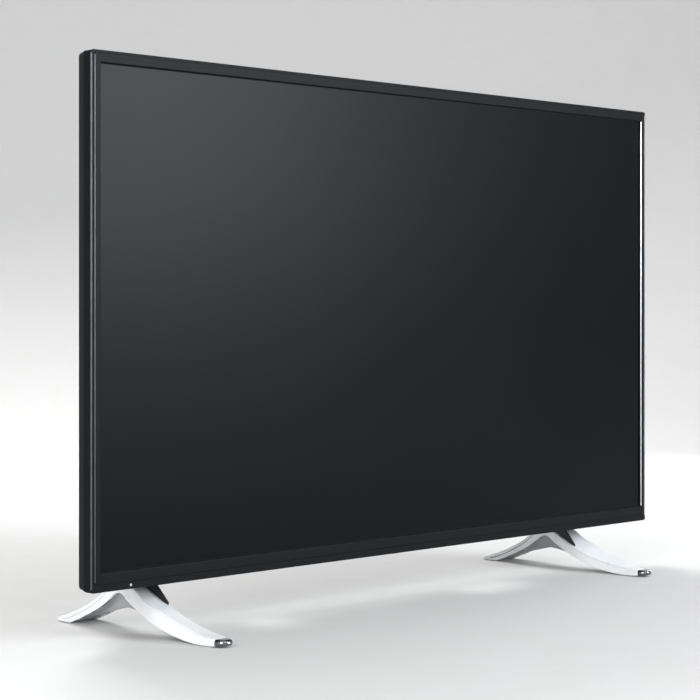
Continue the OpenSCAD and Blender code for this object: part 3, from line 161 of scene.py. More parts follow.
alongX = (0.04, 1, 1)  # stretches a pattern along the set's width
alongY = (1, 0.04, 1)
even = (1, 1, 1)
finishes = {
    "bezel": mouldedPlastic("bezel_abs_satin", "#101316", "#0e1114", 0.48, 1.6, 0.08, {"IOR": 1.15}),
    # the bezel's edge plating is one finish in two tones: the darker tone on the left side is painted shade, the
    # brighter tone on the right side is painted highlight
    "edge": workedMetal("edge_plating_painted_shade_left", "#55585c", "#4f5256", 0.34, 3, even, 0.0),
    "edgePaintedHighlight": workedMetal("edge_plating_painted_highlight_right", "#b9bcbf", "#b1b4b7", 0.24, 3, even, 0.0),
    "cover": mouldedPlastic("cover_abs_spark_textured", "#17181a", "#141517", 0.6, 2.2, 0.3, {"IOR": 1.26}),
    "screen": polariserFilm("polariser_hard_coat"),
    "border": mouldedPlastic("cell_border_ink_black", "#0d0e0f", "#0a0b0c", 0.7, 2.0, 0.0, {"IOR": 1.2}),
    "glass": clearMoulding("cell_glass_edge", "#9fb0aa", "#8b9c97", 0.08, 1.52),
    "chrome": mouldedPlastic("satin_chrome_lacquered", "#e9ecee", "#e3e6e9", 0.32, 60, 0.0,
                             {"Metallic": 0.12, "Coat Weight": 0.3, "Coat Roughness": 0.1}),
    # the toe cap is polished chrome toned darker than chrome is: the dark tone is a painted reflection of dark
    # surroundings
    "toeChrome": workedMetal("polished_chrome_painted_dark_reflection", "#797c80", "#6f7276", 0.07, 8, even, 0.0),
    "footGrey": mouldedPlastic("foot_core_grey_abs", "#a4a6a8", "#97999b", 0.42, 1.8, 0.15),
    "footBlack": mouldedPlastic("glass_filled_nylon_black", "#161617", "#0f0f10", 0.5, 1.2, 0.4),
    "rubber": mouldedPlastic("pad_rubber", "#1d1d1d", "#151515", 0.75, 1.0, 0.5),
    "foam": mouldedPlastic("gasket_foam_black", "#141414", "#0c0c0c", 0.9, 0.6, 0.8),
    "whiteFrame": mouldedPlastic("frame_polycarbonate_white", "#d9d9d6", "#cfcfcb", 0.45, 1.5, 0.1),
    "film": mouldedPlastic("optical_film_pet", "#e4e7e8", "#dadddf", 0.25, 0.8, 0.15),
    "reflector": mouldedPlastic("reflector_white_pet", "#f2f2f0", "#e8e8e6", 0.6, 1.0, 0.1),
    "lensClear": clearMoulding("lamp_lens_acrylic", "#f4f6f6", "#e6eaea", 0.06, 1.49),
    "panSteel": workedMetal("pan_galvanised_steel", "#b9bcbe", "#9da1a4", 0.38, 9, alongX, 0.1),
    "steel": workedMetal("zinc_plated_steel", "#c3c5c6", "#a7aaac", 0.3, 2, even, 0.1),
    "socketMetal": workedMetal("nickel_plated_shell", "#c9c8c4", "#b1b0ac", 0.25, 3, alongY, 0.08),
    "aluminium": workedMetal("extruded_aluminium", "#c2c6c9", "#a9adb0", 0.34, 2, alongY, 0.2),
    "brass": workedMetal("brass_turned", "#c9a558", "#ad8a41", 0.28, 1.5, even, 0.15),
    "gold": workedMetal("contact_gold_plating", "#e3bd6a", "#c89f4c", 0.2, 2, even, 0.05),
    "boardGreen": circuitBoard("solder_mask_green", "#0f3a22", "#1b5634", 0.7),
    "boardTan": circuitBoard("phenolic_board_tan", "#7d5c33", "#96723f", 1.1),
    "amber": clearMoulding("polyimide_film_amber", "#b4691b", "#945212", 0.2, 1.6),
    "ribbon": mouldedPlastic("ribbon_pet_white", "#dfe1e2", "#cfd2d4", 0.35, 1.0, 0.1),
    "socketBlack": mouldedPlastic("socket_lcp_black", "#1a1a1b", "#121213", 0.45, 1.0, 0.2),
    "ferrite": mouldedPlastic("ferrite_and_tape", "#3a3a33", "#2b2b28", 0.5, 2.5, 0.3),
    "sleeve": mouldedPlastic("capacitor_sleeve", "#23262e", "#1b1d24", 0.3, 3, 0.05),
    "speakerBox": mouldedPlastic("speaker_box_hips_black", "#1b1b1c", "#131314", 0.5, 2.0, 0.3),
    "paper": mouldedPlastic("speaker_cone_paper", "#2a2826", "#1d1c1b", 0.85, 1.0, 0.8),
    "infrared": mouldedPlastic("infrared_window_acrylic", "#9aa3a8", "#8a9398", 0.2, 3, 0.02, {"Coat Weight": 0.6}),
    "jackGreen": mouldedPlastic("jack_ring_abs_green", "#3f9b5a", "#368a4f", 0.35, 2, 0.05),
    "jackBlue": mouldedPlastic("jack_ring_abs_blue", "#3b78b8", "#336aa4", 0.35, 2, 0.05),
    "switch": mouldedPlastic("switch_pom_black", "#1c1c1d", "#141415", 0.35, 1.5, 0.1),
}


def dress(finish, *names):
    for name in names:
        nodes[name].data.materials.clear()
        nodes[name].data.materials.append(finishes[finish])


dress("bezel", "front_bezel")
dress("cover", "rear_cover")
dress("screen", "lcd_cell")
dress("foam", "panel_gasket")
dress("whiteFrame", "middle_frame")
dress("film", "brightness_film", "diffuser_film", "diffuser_plate")
dress("reflector", "reflector_sheet")
dress("lensClear", "lamp_lenses")
dress("panSteel", "back_pan")
dress("boardGreen", "lamp_bars", "source_boards", "timing_board", "main_board", "wireless_module",
      "infrared_board", "switch_board")
dress("boardTan", "power_board")
dress("amber", "drive_films")
dress("ribbon", "panel_ribbon")
dress("aluminium", "main_heat_sink", "power_heat_sink")
dress("socketMetal", "tuner_can", "hdmi_socket_1", "hdmi_socket_2", "usb_socket_1", "usb_socket_2",
      "antenna_socket", "network_socket")
dress("socketBlack", "card_slot", "headphone_jack", "audio_jacks", "mains_inlet")
dress("ferrite", "power_transformer")
dress("sleeve", "power_capacitors")
dress("speakerBox", "speaker_box_left", "speaker_box_right")
dress("paper", "speaker_cone_left", "speaker_cone_right")
dress("infrared", "infrared_lens")
dress("switch", "switch_housing", "switch_plunger", "control_rocker")
dress("steel", "rocker_pin", "cover_screws", "board_screws", "foot_screws")
dress("brass", "wall_mount_posts")
dress("chrome", "left_foot", "right_foot")
dress("footGrey", "left_foot_core", "right_foot_core")
dress("footBlack", "left_foot_neck", "right_foot_neck")
dress("rubber", "foot_pads")
print("materials ready:", len(finishes))


# Mesh helpers: pieces are drawn in millimetres in the shared frame and brought to metres at the end

def finishPiece(bm, name, body, looks, stands=(), smooth=35, scale=mm, flats=False):
    bmesh.ops.scale(bm, vec=(scale, scale, scale), verts=bm.verts)
    mesh = bpy.data.meshes.new(name)
    bm.to_mesh(mesh)
    bm.free()
    mesh.polygons.foreach_set("use_smooth", [True] * len(mesh.polygons))
    mesh.set_sharp_from_angle(angle=math.radians(smooth))
    piece = bpy.data.objects.new(name, mesh)
    bpy.context.scene.collection.objects.link(piece)
    for look in looks:
        mesh.materials.append(finishes[look])
    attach(piece, body)
    if stands:
        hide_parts(*stands)
    if flats:  # large faces keep their own shade beside rounded edges
        piece.modifiers.new("evenShade", "WEIGHTED_NORMAL").keep_sharp = True


def nodeBox(node):
    return tuple(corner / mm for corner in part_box(node))


def sharpEdges(bm, limit):
    return [e for e in bm.edges if e.is_manifold and e.calc_face_angle() > math.radians(limit)]


def roundEdges(bm, edges, width, segments=2):
    return bmesh.ops.bevel(bm, geom=edges, offset=width, offset_type="OFFSET", segments=segments, profile=0.5,
                           affect="EDGES", material=-1, clamp_overlap=True)["faces"]


def uprightSheet(bm, left, right, low, high, depth):  # one face across the set, looking forwards
    made = bmesh.ops.create_grid(bm, x_segments=1, y_segments=1, size=0.5)["verts"]
    bmesh.ops.scale(bm, vec=(right - left, high - low, 1), verts=made)
    bmesh.ops.rotate(bm, cent=(0, 0, 0), matrix=Matrix.Rotation(math.radians(90), 3, "X"), verts=made)
    bmesh.ops.translate(bm, vec=((left + right) / 2, faceY + depth, (low + high) / 2), verts=made)
    return made


cadFit = {"weld": 0.005 * mm, "flatAngle": 0.8, "sharpAngle": 32}  # for pieces that start from a copy of a CAD mesh


def cadCopy(node):
    bm = bmesh.new()
    bm.from_mesh(nodes[node].data)
    bmesh.ops.remove_doubles(bm, verts=bm.verts, dist=cadFit["weld"])
    return bm


def softened(node, name, look, width, body="television", reshape=None):
    bm = cadCopy(node)
    bmesh.ops.dissolve_limit(bm, angle_limit=math.radians(cadFit["flatAngle"]), verts=bm.verts, edges=bm.edges)
    if reshape:
        reshape(bm)
    roundEdges(bm, sharpEdges(bm, cadFit["sharpAngle"]), width * mm)
    finishPiece(bm, name, body, [look], [node], scale=1, flats=True)


def pointAlong(bm, verts, way, place):  # turns verts drawn round the z axis to face along way, then sets them in place
    turn = Vector((0, 0, 1)).rotation_difference(Vector(way)).to_matrix()
    bmesh.ops.rotate(bm, cent=(0, 0, 0), matrix=turn, verts=verts)
    bmesh.ops.translate(bm, vec=place, verts=verts)


def spun(bm, outline, steps):  # a profile of (radius, height) spun about the z axis
    verts = [bm.verts.new((r, 0, h)) for r, h in outline]
    edges = [bm.edges.new(pair) for pair in zip(verts, verts[1:])]
    bmesh.ops.spin(bm, geom=verts + edges, cent=(0, 0, 0), axis=(0, 0, 1), angle=2 * math.pi, steps=steps, use_merge=True)


def turned(bm, outline, way, place, steps=28, index=0):  # a spun profile whose axis points along way
    before = set(bm.verts)
    spun(bm, outline, steps)
    bmesh.ops.remove_doubles(bm, verts=[v for v in bm.verts if v not in before], dist=0.001)
    fresh = [v for v in bm.verts if v not in before]
    faces = list({f for v in fresh for f in v.link_faces})
    bmesh.ops.recalc_face_normals(bm, faces=faces)
    for f in faces:
        f.material_index = index
    pointAlong(bm, fresh, way, place)


# Front bezel: rings from the parting line round the outside, over the raised frame and into the lip
bezel = {"cornerR": 4, "rimDepth": 1.2, "raisedIn": (4, 3, 8.5), "openIn": (12, 13.5, 20.5), "lip": 2.5,
         "pocketOut": 4.4, "plateBack": 4.2, "wall": 2.4, "parting": 14, "raisedR": 2.5, "openR": 0.8, "backR": 2,
         "rimRound": 1.15, "raisedRound": 0.8, "lipRound": 1.2, "brightRun": 200}


def isUpright(face):  # a long face up one side of the bezel
    heights = [v.co.z for v in face.verts]
    return max(heights) - min(heights) > bezel["brightRun"]


def turnOf(vert):  # angle round the bezel's middle
    return math.atan2(vert.co.z - bodyMiddle, vert.co.x)


def makeBezel():
    bm = bmesh.new()
    rs, rt, rb = bezel["raisedIn"]
    ox, ot, ob = bezel["openIn"]
    po, wall = bezel["pocketOut"], bezel["wall"]
    raisedR, openR, backR = bezel["raisedR"], bezel["openR"], bezel["backR"]
    plan = [
        (0, 0, 0, bezel["cornerR"], bezel["parting"]),
        (0, 0, 0, bezel["cornerR"], bezel["rimDepth"]),
        (rs, rt, rb, raisedR, bezel["rimDepth"]),
        (rs, rt, rb, raisedR, 0),
        (ox, ot, ob, openR, 0),
        (ox, ot, ob, openR, bezel["lip"]),
        (ox - po, ot - po, ob - po, openR, bezel["lip"]),
        (ox - po, ot - po, ob - po, openR, bezel["plateBack"]),
        (wall, wall, wall, backR, bezel["plateBack"]),
        (wall, wall, wall, backR, bezel["parting"]),
    ]
    rings = []
    for inSide, inTop, inBottom, radius, depth in plan:
        before = set(bm.edges)
        made = uprightSheet(bm, bodyLow.x + inSide, bodyHigh.x - inSide, bodyLow.z + inBottom, bodyHigh.z - inTop, depth)
        bmesh.ops.bevel(bm, geom=made, offset=radius, offset_type="OFFSET", segments=5, profile=0.5,
                        affect="VERTICES", material=-1)
        rings.append([e for e in bm.edges if e not in before])
        bmesh.ops.delete(bm, geom=list(bm.faces), context="FACES_ONLY")
    loops = [sorted({v for e in ring for v in e.verts}, key=turnOf) for ring in rings]
    for first, second in zip(loops, loops[1:] + loops[:1]):  # corner by corner, so no quad leans across a corner
        for i in range(len(first)):
            bm.faces.new((first[i - 1], first[i], second[i], second[i - 1]))
    bmesh.ops.recalc_face_normals(bm, faces=bm.faces)
    rimRing, raisedRing, lipRing = 1, 3, 4
    # upright edges take the darker plating on the left as painted shade and the brighter plating on the right as
    # painted highlight
    for ring, width in ((rimRing, bezel["rimRound"]), (raisedRing, bezel["raisedRound"]), (lipRing, bezel["lipRound"])):
        for f in roundEdges(bm, rings[ring], width, 3):
            onLeft = f.calc_center_median().x < 0
            if isUpright(f) and not (onLeft and ring == lipRing):  # the lip's left side stays plain bezel plastic, painted shade
                f.material_index = 1 if onLeft else 2
    stripX, stripY = bodyHigh.x - rs - 0.01, faceY + bezel["rimDepth"]
    for f in bm.faces:  # the rim's right side is a polished strip in the brighter plating, a painted highlight
        if isUpright(f) and all(v.co.x > stripX and abs(v.co.y - stripY) < 0.01 for v in f.verts):
            f.material_index = 2
    finishPiece(bm, "frontBezel", "television", ["bezel", "edge", "edgePaintedHighlight"], ["front_bezel"],
                flats=True)


makeBezel()
print("bezel made")


# Display: the cell's front with its printed border, a polariser a hair smaller than the glass under it
display = {"shownBorder": (0.3, 1.1), "polariserIn": 1.2, "inkIn": 3, "film": 0.25, "edge": 0.12, "sharpAngle": 60}


def makeDisplay():
    low, high = nodeBox("lcd_cell")
    front, back = low.y - faceY, high.y - faceY
    bm = bmesh.new()
    uprightSheet(bm, low.x, high.x, low.z, high.z, front + display["film"])
    sheet = list(bm.faces)
    out = bmesh.ops.inset_region(bm, faces=sheet, thickness=display["polariserIn"])
    sheet = [f for f in bm.faces if f not in out["faces"]]
    lifted = bmesh.ops.extrude_face_region(bm, geom=sheet)
    raised = [v for v in lifted["geom"] if isinstance(v, bmesh.types.BMVert)]
    bmesh.ops.translate(bm, vec=(0, -display["film"], 0), verts=raised)
    bmesh.ops.delete(bm, geom=sheet, context="FACES_ONLY")
    top = [f for f in lifted["geom"] if isinstance(f, bmesh.types.BMFace)]
    ring = bmesh.ops.inset_region(bm, faces=top, thickness=display["inkIn"])
    for f in ring["faces"]:
        f.material_index = 1
    ox, ot, ob = bezel["openIn"]
    sideBorder, endBorder = display["shownBorder"]
    for v in top[0].verts:  # the picture area, a little inside the bezel's opening
        v.co.x = bodyLow.x + ox + sideBorder if v.co.x < 0 else bodyHigh.x - ox - sideBorder
        v.co.z = bodyLow.z + ob + endBorder if v.co.z < (low.z + high.z) / 2 else bodyHigh.z - ot - endBorder
    rim = [e for e in bm.edges if e.is_boundary]
    wall = bmesh.ops.extrude_edge_only(bm, edges=rim)
    edgeVerts = [v for v in wall["geom"] if isinstance(v, bmesh.types.BMVert)]
    bmesh.ops.translate(bm, vec=(0, back - front - display["film"], 0), verts=edgeVerts)
    bmesh.ops.contextual_create(bm, geom=[e for e in bm.edges if e.is_boundary])
    for f in out["faces"]:
        f.material_index = 2
    for f in bm.faces:  # all that doesn't look forwards
        if f.normal.y > -0.5:
            f.material_index = 2
    bmesh.ops.recalc_face_normals(bm, faces=bm.faces)
    roundEdges(bm, sharpEdges(bm, display["sharpAngle"]), display["edge"], 1)
    finishPiece(bm, "displayPanel", "television", ["screen", "border", "glass"], ["lcd_cell"])


# Infrared window: a small clear dome in a dark collar on the lower strip
infrared = {"r": 1.45, "collar": 1.95, "proud": 0.35, "collarBack": (-0.12, 0.2, 2)}


def makeInfrared():
    low, high = nodeBox("infrared_lens")
    bm = bmesh.new()
    dome = bmesh.ops.create_uvsphere(bm, u_segments=24, v_segments=12, radius=infrared["r"])["verts"]
    bmesh.ops.scale(bm, vec=(1, infrared["proud"] / infrared["r"], 1), verts=dome)
    bmesh.ops.bisect_plane(bm, geom=bm.verts[:] + bm.edges[:] + bm.faces[:], plane_co=(0, 0, 0), plane_no=(0, 1, 0),
                           clear_outer=True)
    for growth, back in zip((infrared["collar"] / infrared["r"], 1, 1), infrared["collarBack"]):
        rim = bmesh.ops.extrude_edge_only(bm, edges=[e for e in bm.edges if e.is_boundary])["geom"]
        outer = [v for v in rim if isinstance(v, bmesh.types.BMVert)]
        bmesh.ops.scale(bm, vec=(growth, 1, growth), verts=outer)
        bmesh.ops.translate(bm, vec=(0, back, 0), verts=outer)
        for f in rim:
            if isinstance(f, bmesh.types.BMFace):
                f.material_index = 1
    bmesh.ops.recalc_face_normals(bm, faces=bm.faces)
    bmesh.ops.translate(bm, vec=((low.x + high.x) / 2, faceY + bezel["rimDepth"], (low.z + high.z) / 2), verts=bm.verts)
    finishPiece(bm, "infraredWindow", "television", ["infrared", "bezel"], ["infrared_lens"])


makeDisplay()
makeInfrared()
print("display made")


# Feet: a bright skin swept over an arch, hollow below, with a moulded grey core that ends in a web.
# Each sweep is three points of (depth, height), depth counted back from the bezel's face.
foot = {
    "topFront": ((82, 56), (-38, 7), (-84.5, 8.6)), "topRear": ((88, 56), (112, 23.52), (192, 2.2)),
    "underFront": ((-50, 0.6), (4, 3), (62, 35.5)), "underTop": ((62, 35.5), (75, 49), (88, 37.5)),
    "underRear": ((88, 37.5), (104, 21.25), (160, 0.6)), "webFront": ((-14, 6.8), (44, 22.4), (76, 25.4)),
    "webRear": ((76, 25.4), (97, 21.4), (160, 3.6)), "nose": (-88, 4.6), "noseTop": (-84.5, 8.6),
    "clear": 0.6, "lift": 1.6, "toeLift": -66, "heelLift": 188, "bluntRun": 20,
    "toeR": 10, "toeY": -78, "mid": (20, 76, 16.5), "wide": (130, 20), "heelR": 14, "heelY": 178, "heelIn": 6,
    "wall": 3, "hollow": (-46, 164), "step": 4, "ridge": 0.9, "lowRidge": 0.5, "thin": 9,
    "seam": (92, 172), "seamDown": 4.6, "innerSeam": (1.1, 2.0), "outerSeam": (0.6, 1.4),
    "line": (-74, 84), "lineCut": (0.45, 1.0), "cap": -75.5, "coreGap": 0.15, "coreUp": 0.8, "webHalf": 4,
    "outerRise": ((-66, 0), (-54, -1), (-44, -0.2), (-32, 0.5), (-5, 1.1), (14, 1.8), (29, 2.4), (38, 3.4),
                  (46, 6), (55, 6.6), (65, 5), (82, 0)),
    "innerDrop": ((-62, 0), (-45, 1.3), (-29, 2.6), (-13, 3.5), (4, 4.6), (20, 4.1), (35, 3.1), (46.5, 0.8),
                  (55, -1.4), (82, 0)),
    "noseStations": (-88, -87.9, -87.6, -87.1, -86.4, -85.5, -84.5, -82, -79, -76.5, -75.5, -72, -68, -64, -58, -52),
    "heelStations": (168, 171.9, 172.1, 178, 182, 185, 188, 189.5, 190.6, 191.4, 192),
    "bead": ((0, 1.1), (0.9, 0.9), (1.5, 0.3), (1.6, -0.4), (1.2, -1.4), (0, -1.4)), "beadSet": 0.9,
    "beadPlaces": (112, 129, 146), "beadPair": 2.4, "left": -372, "right": 372,
}


def sweepHeight(points, u):  # height of a three point sweep at depth u
    (a, p), (b, q), (c, r) = points
    k, l, m = a - 2 * b + c, 2 * (b - a), a - u
    if abs(k) < 1e-6:
        t = -m / l
    else:
        root = math.sqrt(max(l * l - 4 * k * m, 0))
        t = min(((-l + root) / (2 * k), (-l - root) / (2 * k)), key=lambda s: abs(s - 0.5))
    t = min(max(t, 0), 1)
    return p * (1 - t) ** 2 + 2 * q * t * (1 - t) + r * t * t


def topHeight(u):
    (noseY, noseH), (startY, startH) = foot["nose"], foot["noseTop"]
    if u <= startY:  # the nose is a quarter of an ellipse
        return noseH + (startH - noseH) * math.sqrt(max(1 - ((startY - u) / (startY - noseY)) ** 2, 0))
    crownFront, crownRear = foot["topFront"][0], foot["topRear"][0]
    if u <= crownFront[0]:
        return sweepHeight(foot["topFront"], u)
    return crownFront[1] if u <= crownRear[0] else sweepHeight(foot["topRear"], u)


def underHeight(u):
    clear, lift = foot["clear"], foot["lift"]
    noseY, startY, heelEnd = foot["nose"][0], foot["noseTop"][0], foot["topRear"][2][0]
    if u < startY:
        sweep = 1 - math.sqrt(max(1 - ((startY - u) / (startY - noseY)) ** 2, 0))
        return clear + lift + (foot["nose"][1] - clear - lift) * sweep
    if u < foot["toeLift"]:
        return clear + lift * ((foot["toeLift"] - u) / (foot["toeLift"] - startY)) ** 1.5
    if u < foot["underFront"][0][0]:
        return clear
    for name in ("underFront", "underTop", "underRear"):
        if u < foot[name][2][0]:
            return sweepHeight(foot[name], u)
    if u < foot["heelLift"]:
        return clear
    return clear + lift * ((u - foot["heelLift"]) / (heelEnd - foot["heelLift"])) ** 2


def webHeight(u):
    if u < foot["webFront"][0][0] or u > foot["webRear"][2][0]:
        return math.inf  # no web here
    return sweepHeight(foot["webFront"] if u < foot["webRear"][0][0] else foot["webRear"], u)


def halfWidth(u):
    y0, y1, mid = foot["mid"]
    if u < foot["toeY"]:
        return math.sqrt(max(foot["toeR"] ** 2 - (u - foot["toeY"]) ** 2, 0))
    if u < y0:
        return foot["toeR"] + (mid - foot["toeR"]) * (u - foot["toeY"]) / (y0 - foot["toeY"])
    if u < y1:
        return mid
    wideY, wide = foot["wide"]
    if u < wideY:
        return mid + (wide - mid) * (u - y1) / (wideY - y1)
    if u < foot["heelY"]:
        return wide
    return foot["heelIn"] + math.sqrt(max(foot["heelR"] ** 2 - (u - foot["heelY"]) ** 2, 0))


def tableValue(table, u):
    if u <= table[0][0] or u >= table[-1][0]:
        return 0
    for (a, p), (b, q) in zip(table, table[1:]):
        if u <= b:
            return p + (q - p) * (u - a) / (b - a)


def shoulders(u):  # the top leans inwards: height at the outer and at the inner side
    return topHeight(u) + tableValue(foot["outerRise"], u), topHeight(u) - tableValue(foot["innerDrop"], u)


def shellRing(u, hollow):  # section of the skin, outer side first, over the top to the inner side
    w, low = halfWidth(u), underHeight(u)
    outerTop, innerTop = shoulders(u)
    tall = max(min(outerTop, innerTop) - low, 0.02)
    blunt = min(max((foot["toeLift"] - u) / foot["bluntRun"], 0), 1)  # the nose rounds off towards a bullet
    r = min(foot["ridge"] + blunt * (tall * 0.5), tall * 0.48, w * 0.95 + 0.01)
    lowR = min(foot["lowRidge"] + blunt * tall * 0.45, tall * 0.45, w * 0.9 + 0.01)
    part = min(1, tall / foot["thin"]) if u > foot["line"][0] else 0.005  # cuts shrink where the skin gets thin
    lineOn = 1 if foot["line"][0] < u < foot["line"][1] else 0
    seamOn = 1 if foot["seam"][0] < u < foot["seam"][1] else 0

    def cuts(top, seam):  # inset and height of the two cuts on one wall, from the top down
        lineWide, lineDeep = foot["lineCut"]
        first = top - r - 0.1 * part
        second = min(top - foot["seamDown"] * part, first - (lineWide + 0.1) * part)
        pair = ((first, lineWide * part, lineDeep * lineOn), (second, seam[0] * part, seam[1] * seamOn))
        places = []
        for start, wide, deep in pair:
            places += [(0, start), (deep, start - wide * 0.1), (deep, start - wide * 0.9), (0, start - wide)]
        return places

    skin = foot["wall"]
    inner = max(w - skin, 0)
    arc = [math.radians(a) for a in (0, 22.5, 45, 67.5, 90)]
    ring = [(-w + lowR - lowR * math.sin(a), low + lowR - lowR * math.cos(a)) for a in arc]
    ring += [(-w + deep, h) for deep, h in reversed(cuts(outerTop, foot["outerSeam"]))]
    ring += [(-w + r - r * math.cos(a), outerTop - r + r * math.sin(a)) for a in arc]
    ring += [(w - r + r * math.sin(a), innerTop - r + r * math.cos(a)) for a in arc]
    ring += [(w - deep, h) for deep, h in cuts(innerTop, foot["innerSeam"])]
    ring += [(w - lowR + lowR * math.cos(a), low + lowR - lowR * math.sin(a)) for a in arc]
    innerRoof, outerRoof = (top - skin if hollow else low for top in (innerTop, outerTop))
    return ring + [(inner, low), (inner, innerRoof), (-inner, outerRoof), (-inner, low)]


def coreRing(u):  # section of the core, which fills the skin and hangs down to the web
    skin, thick = foot["wall"] + foot["coreGap"], foot["webHalf"]
    half = halfWidth(u) - skin
    outerCeiling, innerCeiling = (top - skin for top in shoulders(u))
    base = min(underHeight(u) + foot["coreUp"], outerCeiling - 0.3, innerCeiling - 0.3)
    web = min(base - 0.02, webHeight(u))
    steps = [i / 7 for i in range(8)]
    edge = min(1, (base - web) * 0.4)
    bowl = [(half * (1 - t) ** 2 + 2 * (thick + 0.6) * t * (1 - t) + thick * t * t,
             base * (1 - t) ** 2 + 2 * (base - 0.4 * edge) * t * (1 - t) + (web + edge) * t * t) for t in steps]
    ring = [(-x, h) for x, h in bowl] + [(-thick + edge, web), (thick - edge, web)] + list(reversed(bowl))
    return ring + [(half, innerCeiling), (-half, outerCeiling)]


def sweptBody(bm, stations, side, centre):  # a grid wrapped through the sections, one row for each
    rings = [ring for _, ring in stations]
    around = len(rings[0])
    made = bmesh.ops.create_grid(bm, x_segments=around, y_segments=len(rings) - 1, size=0.5)["verts"]
    for number, vert in enumerate(made):
        row, place = divmod(number, around + 1)
        x, h = rings[row][place % around]
        vert.co = (centre - side * x, faceY + stations[row][0], h)
    bmesh.ops.remove_doubles(bm, verts=made, dist=0.004)
    bmesh.ops.recalc_face_normals(bm, faces=bm.faces)


def depthsBetween(first, last, step):
    count = max(int((last - first) / step), 1)
    return [first + (last - first) * i / count for i in range(count + 1)]


def makeFoot(side, centre, label):
    front, back = foot["hollow"]
    ends = [(u, shellRing(u, False)) for u in (*foot["noseStations"], front, back, *foot["heelStations"])]
    split = len(foot["noseStations"]) + 1
    along = depthsBetween(front + 0.02, back - 0.02, foot["step"])
    along += [place + shift for place in (foot["line"][1], foot["seam"][0]) for shift in (-0.1, 0.1)]
    bm = bmesh.new()
    sweptBody(bm, ends[:split] + [(u, shellRing(u, True)) for u in sorted(along)] + ends[split:], side, centre)
    for f in bm.faces:
        place = f.calc_center_median()
        u = place.y - faceY
        inSeam = abs(abs(place.x - centre) - (halfWidth(u) - foot["innerSeam"][1])) < 0.3
        # the toe cap takes the dark-toned chrome, partly a real polished cap and partly a painted reflection
        if u < foot["cap"]:
            f.material_index = 1
        elif foot["seam"][0] < u < foot["seam"][1] and inSeam:
            f.material_index = 2  # the bottom of the inner seam, black as painted shade in the groove
    finishPiece(bm, label + "FootShell", "television", ["chrome", "toeChrome", "footBlack"], [label + "_foot"],
                smooth=30, flats=True)
    bm = bmesh.new()
    sweptBody(bm, [(u, coreRing(u)) for u in depthsBetween(front + 0.5, back - 0.5, foot["step"])], side, centre)
    bmesh.ops.holes_fill(bm, edges=[e for e in bm.edges if e.is_boundary])
    for u in foot["beadPlaces"]:  # three pairs of small beads along each wall's lower edge
        for y in (u - foot["beadPair"], u + foot["beadPair"]):
            for way in (-1, 1):
                x = centre + way * (halfWidth(y) - foot["wall"] - foot["beadSet"])
                place = (x, faceY + y, underHeight(y) + foot["beadSet"])
                turned(bm, foot["bead"], (-way * 0.8, 0, -0.6), place, 14, 1)
    finishPiece(bm, label + "FootCore", "television", ["footGrey", "chrome"], [label + "_foot_core"],
                smooth=40)


makeFoot(-1, foot["left"], "left")
makeFoot(1, foot["right"], "right")
softened("left_foot_neck", "leftFootNeck", "footBlack", 0.4)
softened("right_foot_neck", "rightFootNeck", "footBlack", 0.4)
softened("foot_pads", "footPads", "rubber", 0.3)
print("feet made")


# Rear cover: the rim's corners round off towards the back
coverCorner = {"r": 11, "from": 14.2, "to": 19, "rim": 26.6, "skin": 2.2, "cuts": (1.6, 3.2, 5.5, 8, 11)}


def inRim(face):  # a face of the cover's outer rim
    place = face.calc_center_median() / mm
    inset = min(bodyHigh.x - abs(place.x), bodyHigh.z - place.z, place.z - bodyLow.z)
    return inset < coverCorner["skin"] and all(v.co.y / mm - faceY < coverCorner["rim"] for v in face.verts)


def roundCorners(bm):
    r, span = coverCorner["r"], coverCorner["to"] - coverCorner["from"]
    for cut in coverCorner["cuts"]:  # more points near the corners, so that they bend smoothly
        for place, normal in (((bodyLow.x + cut, 0, 0), (1, 0, 0)), ((bodyHigh.x - cut, 0, 0), (1, 0, 0)),
                              ((0, 0, bodyLow.z + cut), (0, 0, 1)), ((0, 0, bodyHigh.z - cut), (0, 0, 1))):
            rim = [f for f in bm.faces if inRim(f)]
            around = list({e for f in rim for e in f.edges}) + list({v for f in rim for v in f.verts})
            bmesh.ops.bisect_plane(bm, geom=rim + around, plane_co=Vector(place) * mm, plane_no=normal)
    for v in bm.verts:
        x, depth, z = abs(v.co.x) / mm, v.co.y / mm - faceY, v.co.z / mm
        share = min(max((depth - coverCorner["from"]) / span, 0), 1)
        reach = Vector((x - (bodyHigh.x - r), abs(z - bodyMiddle) - (bodyHigh.z - bodyMiddle - r)))
        if share > 0 and reach.x > 0 and reach.y > 0 and reach.length > r:
            pull = reach * (r / reach.length - 1) * share * mm
            v.co.x += math.copysign(1, v.co.x) * pull.x
            v.co.z += math.copysign(1, z - bodyMiddle) * pull.y


softened("rear_cover", "rearCover", "cover", 0.5, reshape=roundCorners)
softened("control_rocker", "controlRocker", "switch", 0.3, body="rocker")
print("cover and switch made")


# Small parts at the back: tongues and contacts in the sockets, rings round the jacks, screws

def slabIn(bm, x, y, z, rounding=0.0, index=0):  # a flat bar between two places on each axis
    made = bmesh.ops.create_cube(bm, size=1)["verts"]
    bmesh.ops.scale(bm, vec=(x[1] - x[0], y[1] - y[0], z[1] - z[0]), verts=made)
    bmesh.ops.translate(bm, vec=(sum(x) / 2, sum(y) / 2, sum(z) / 2), verts=made)
    for f in {f for v in made for f in v.link_faces}:
        f.material_index = index
    if rounding:
        roundEdges(bm, list({e for v in made for e in v.link_edges}), rounding)


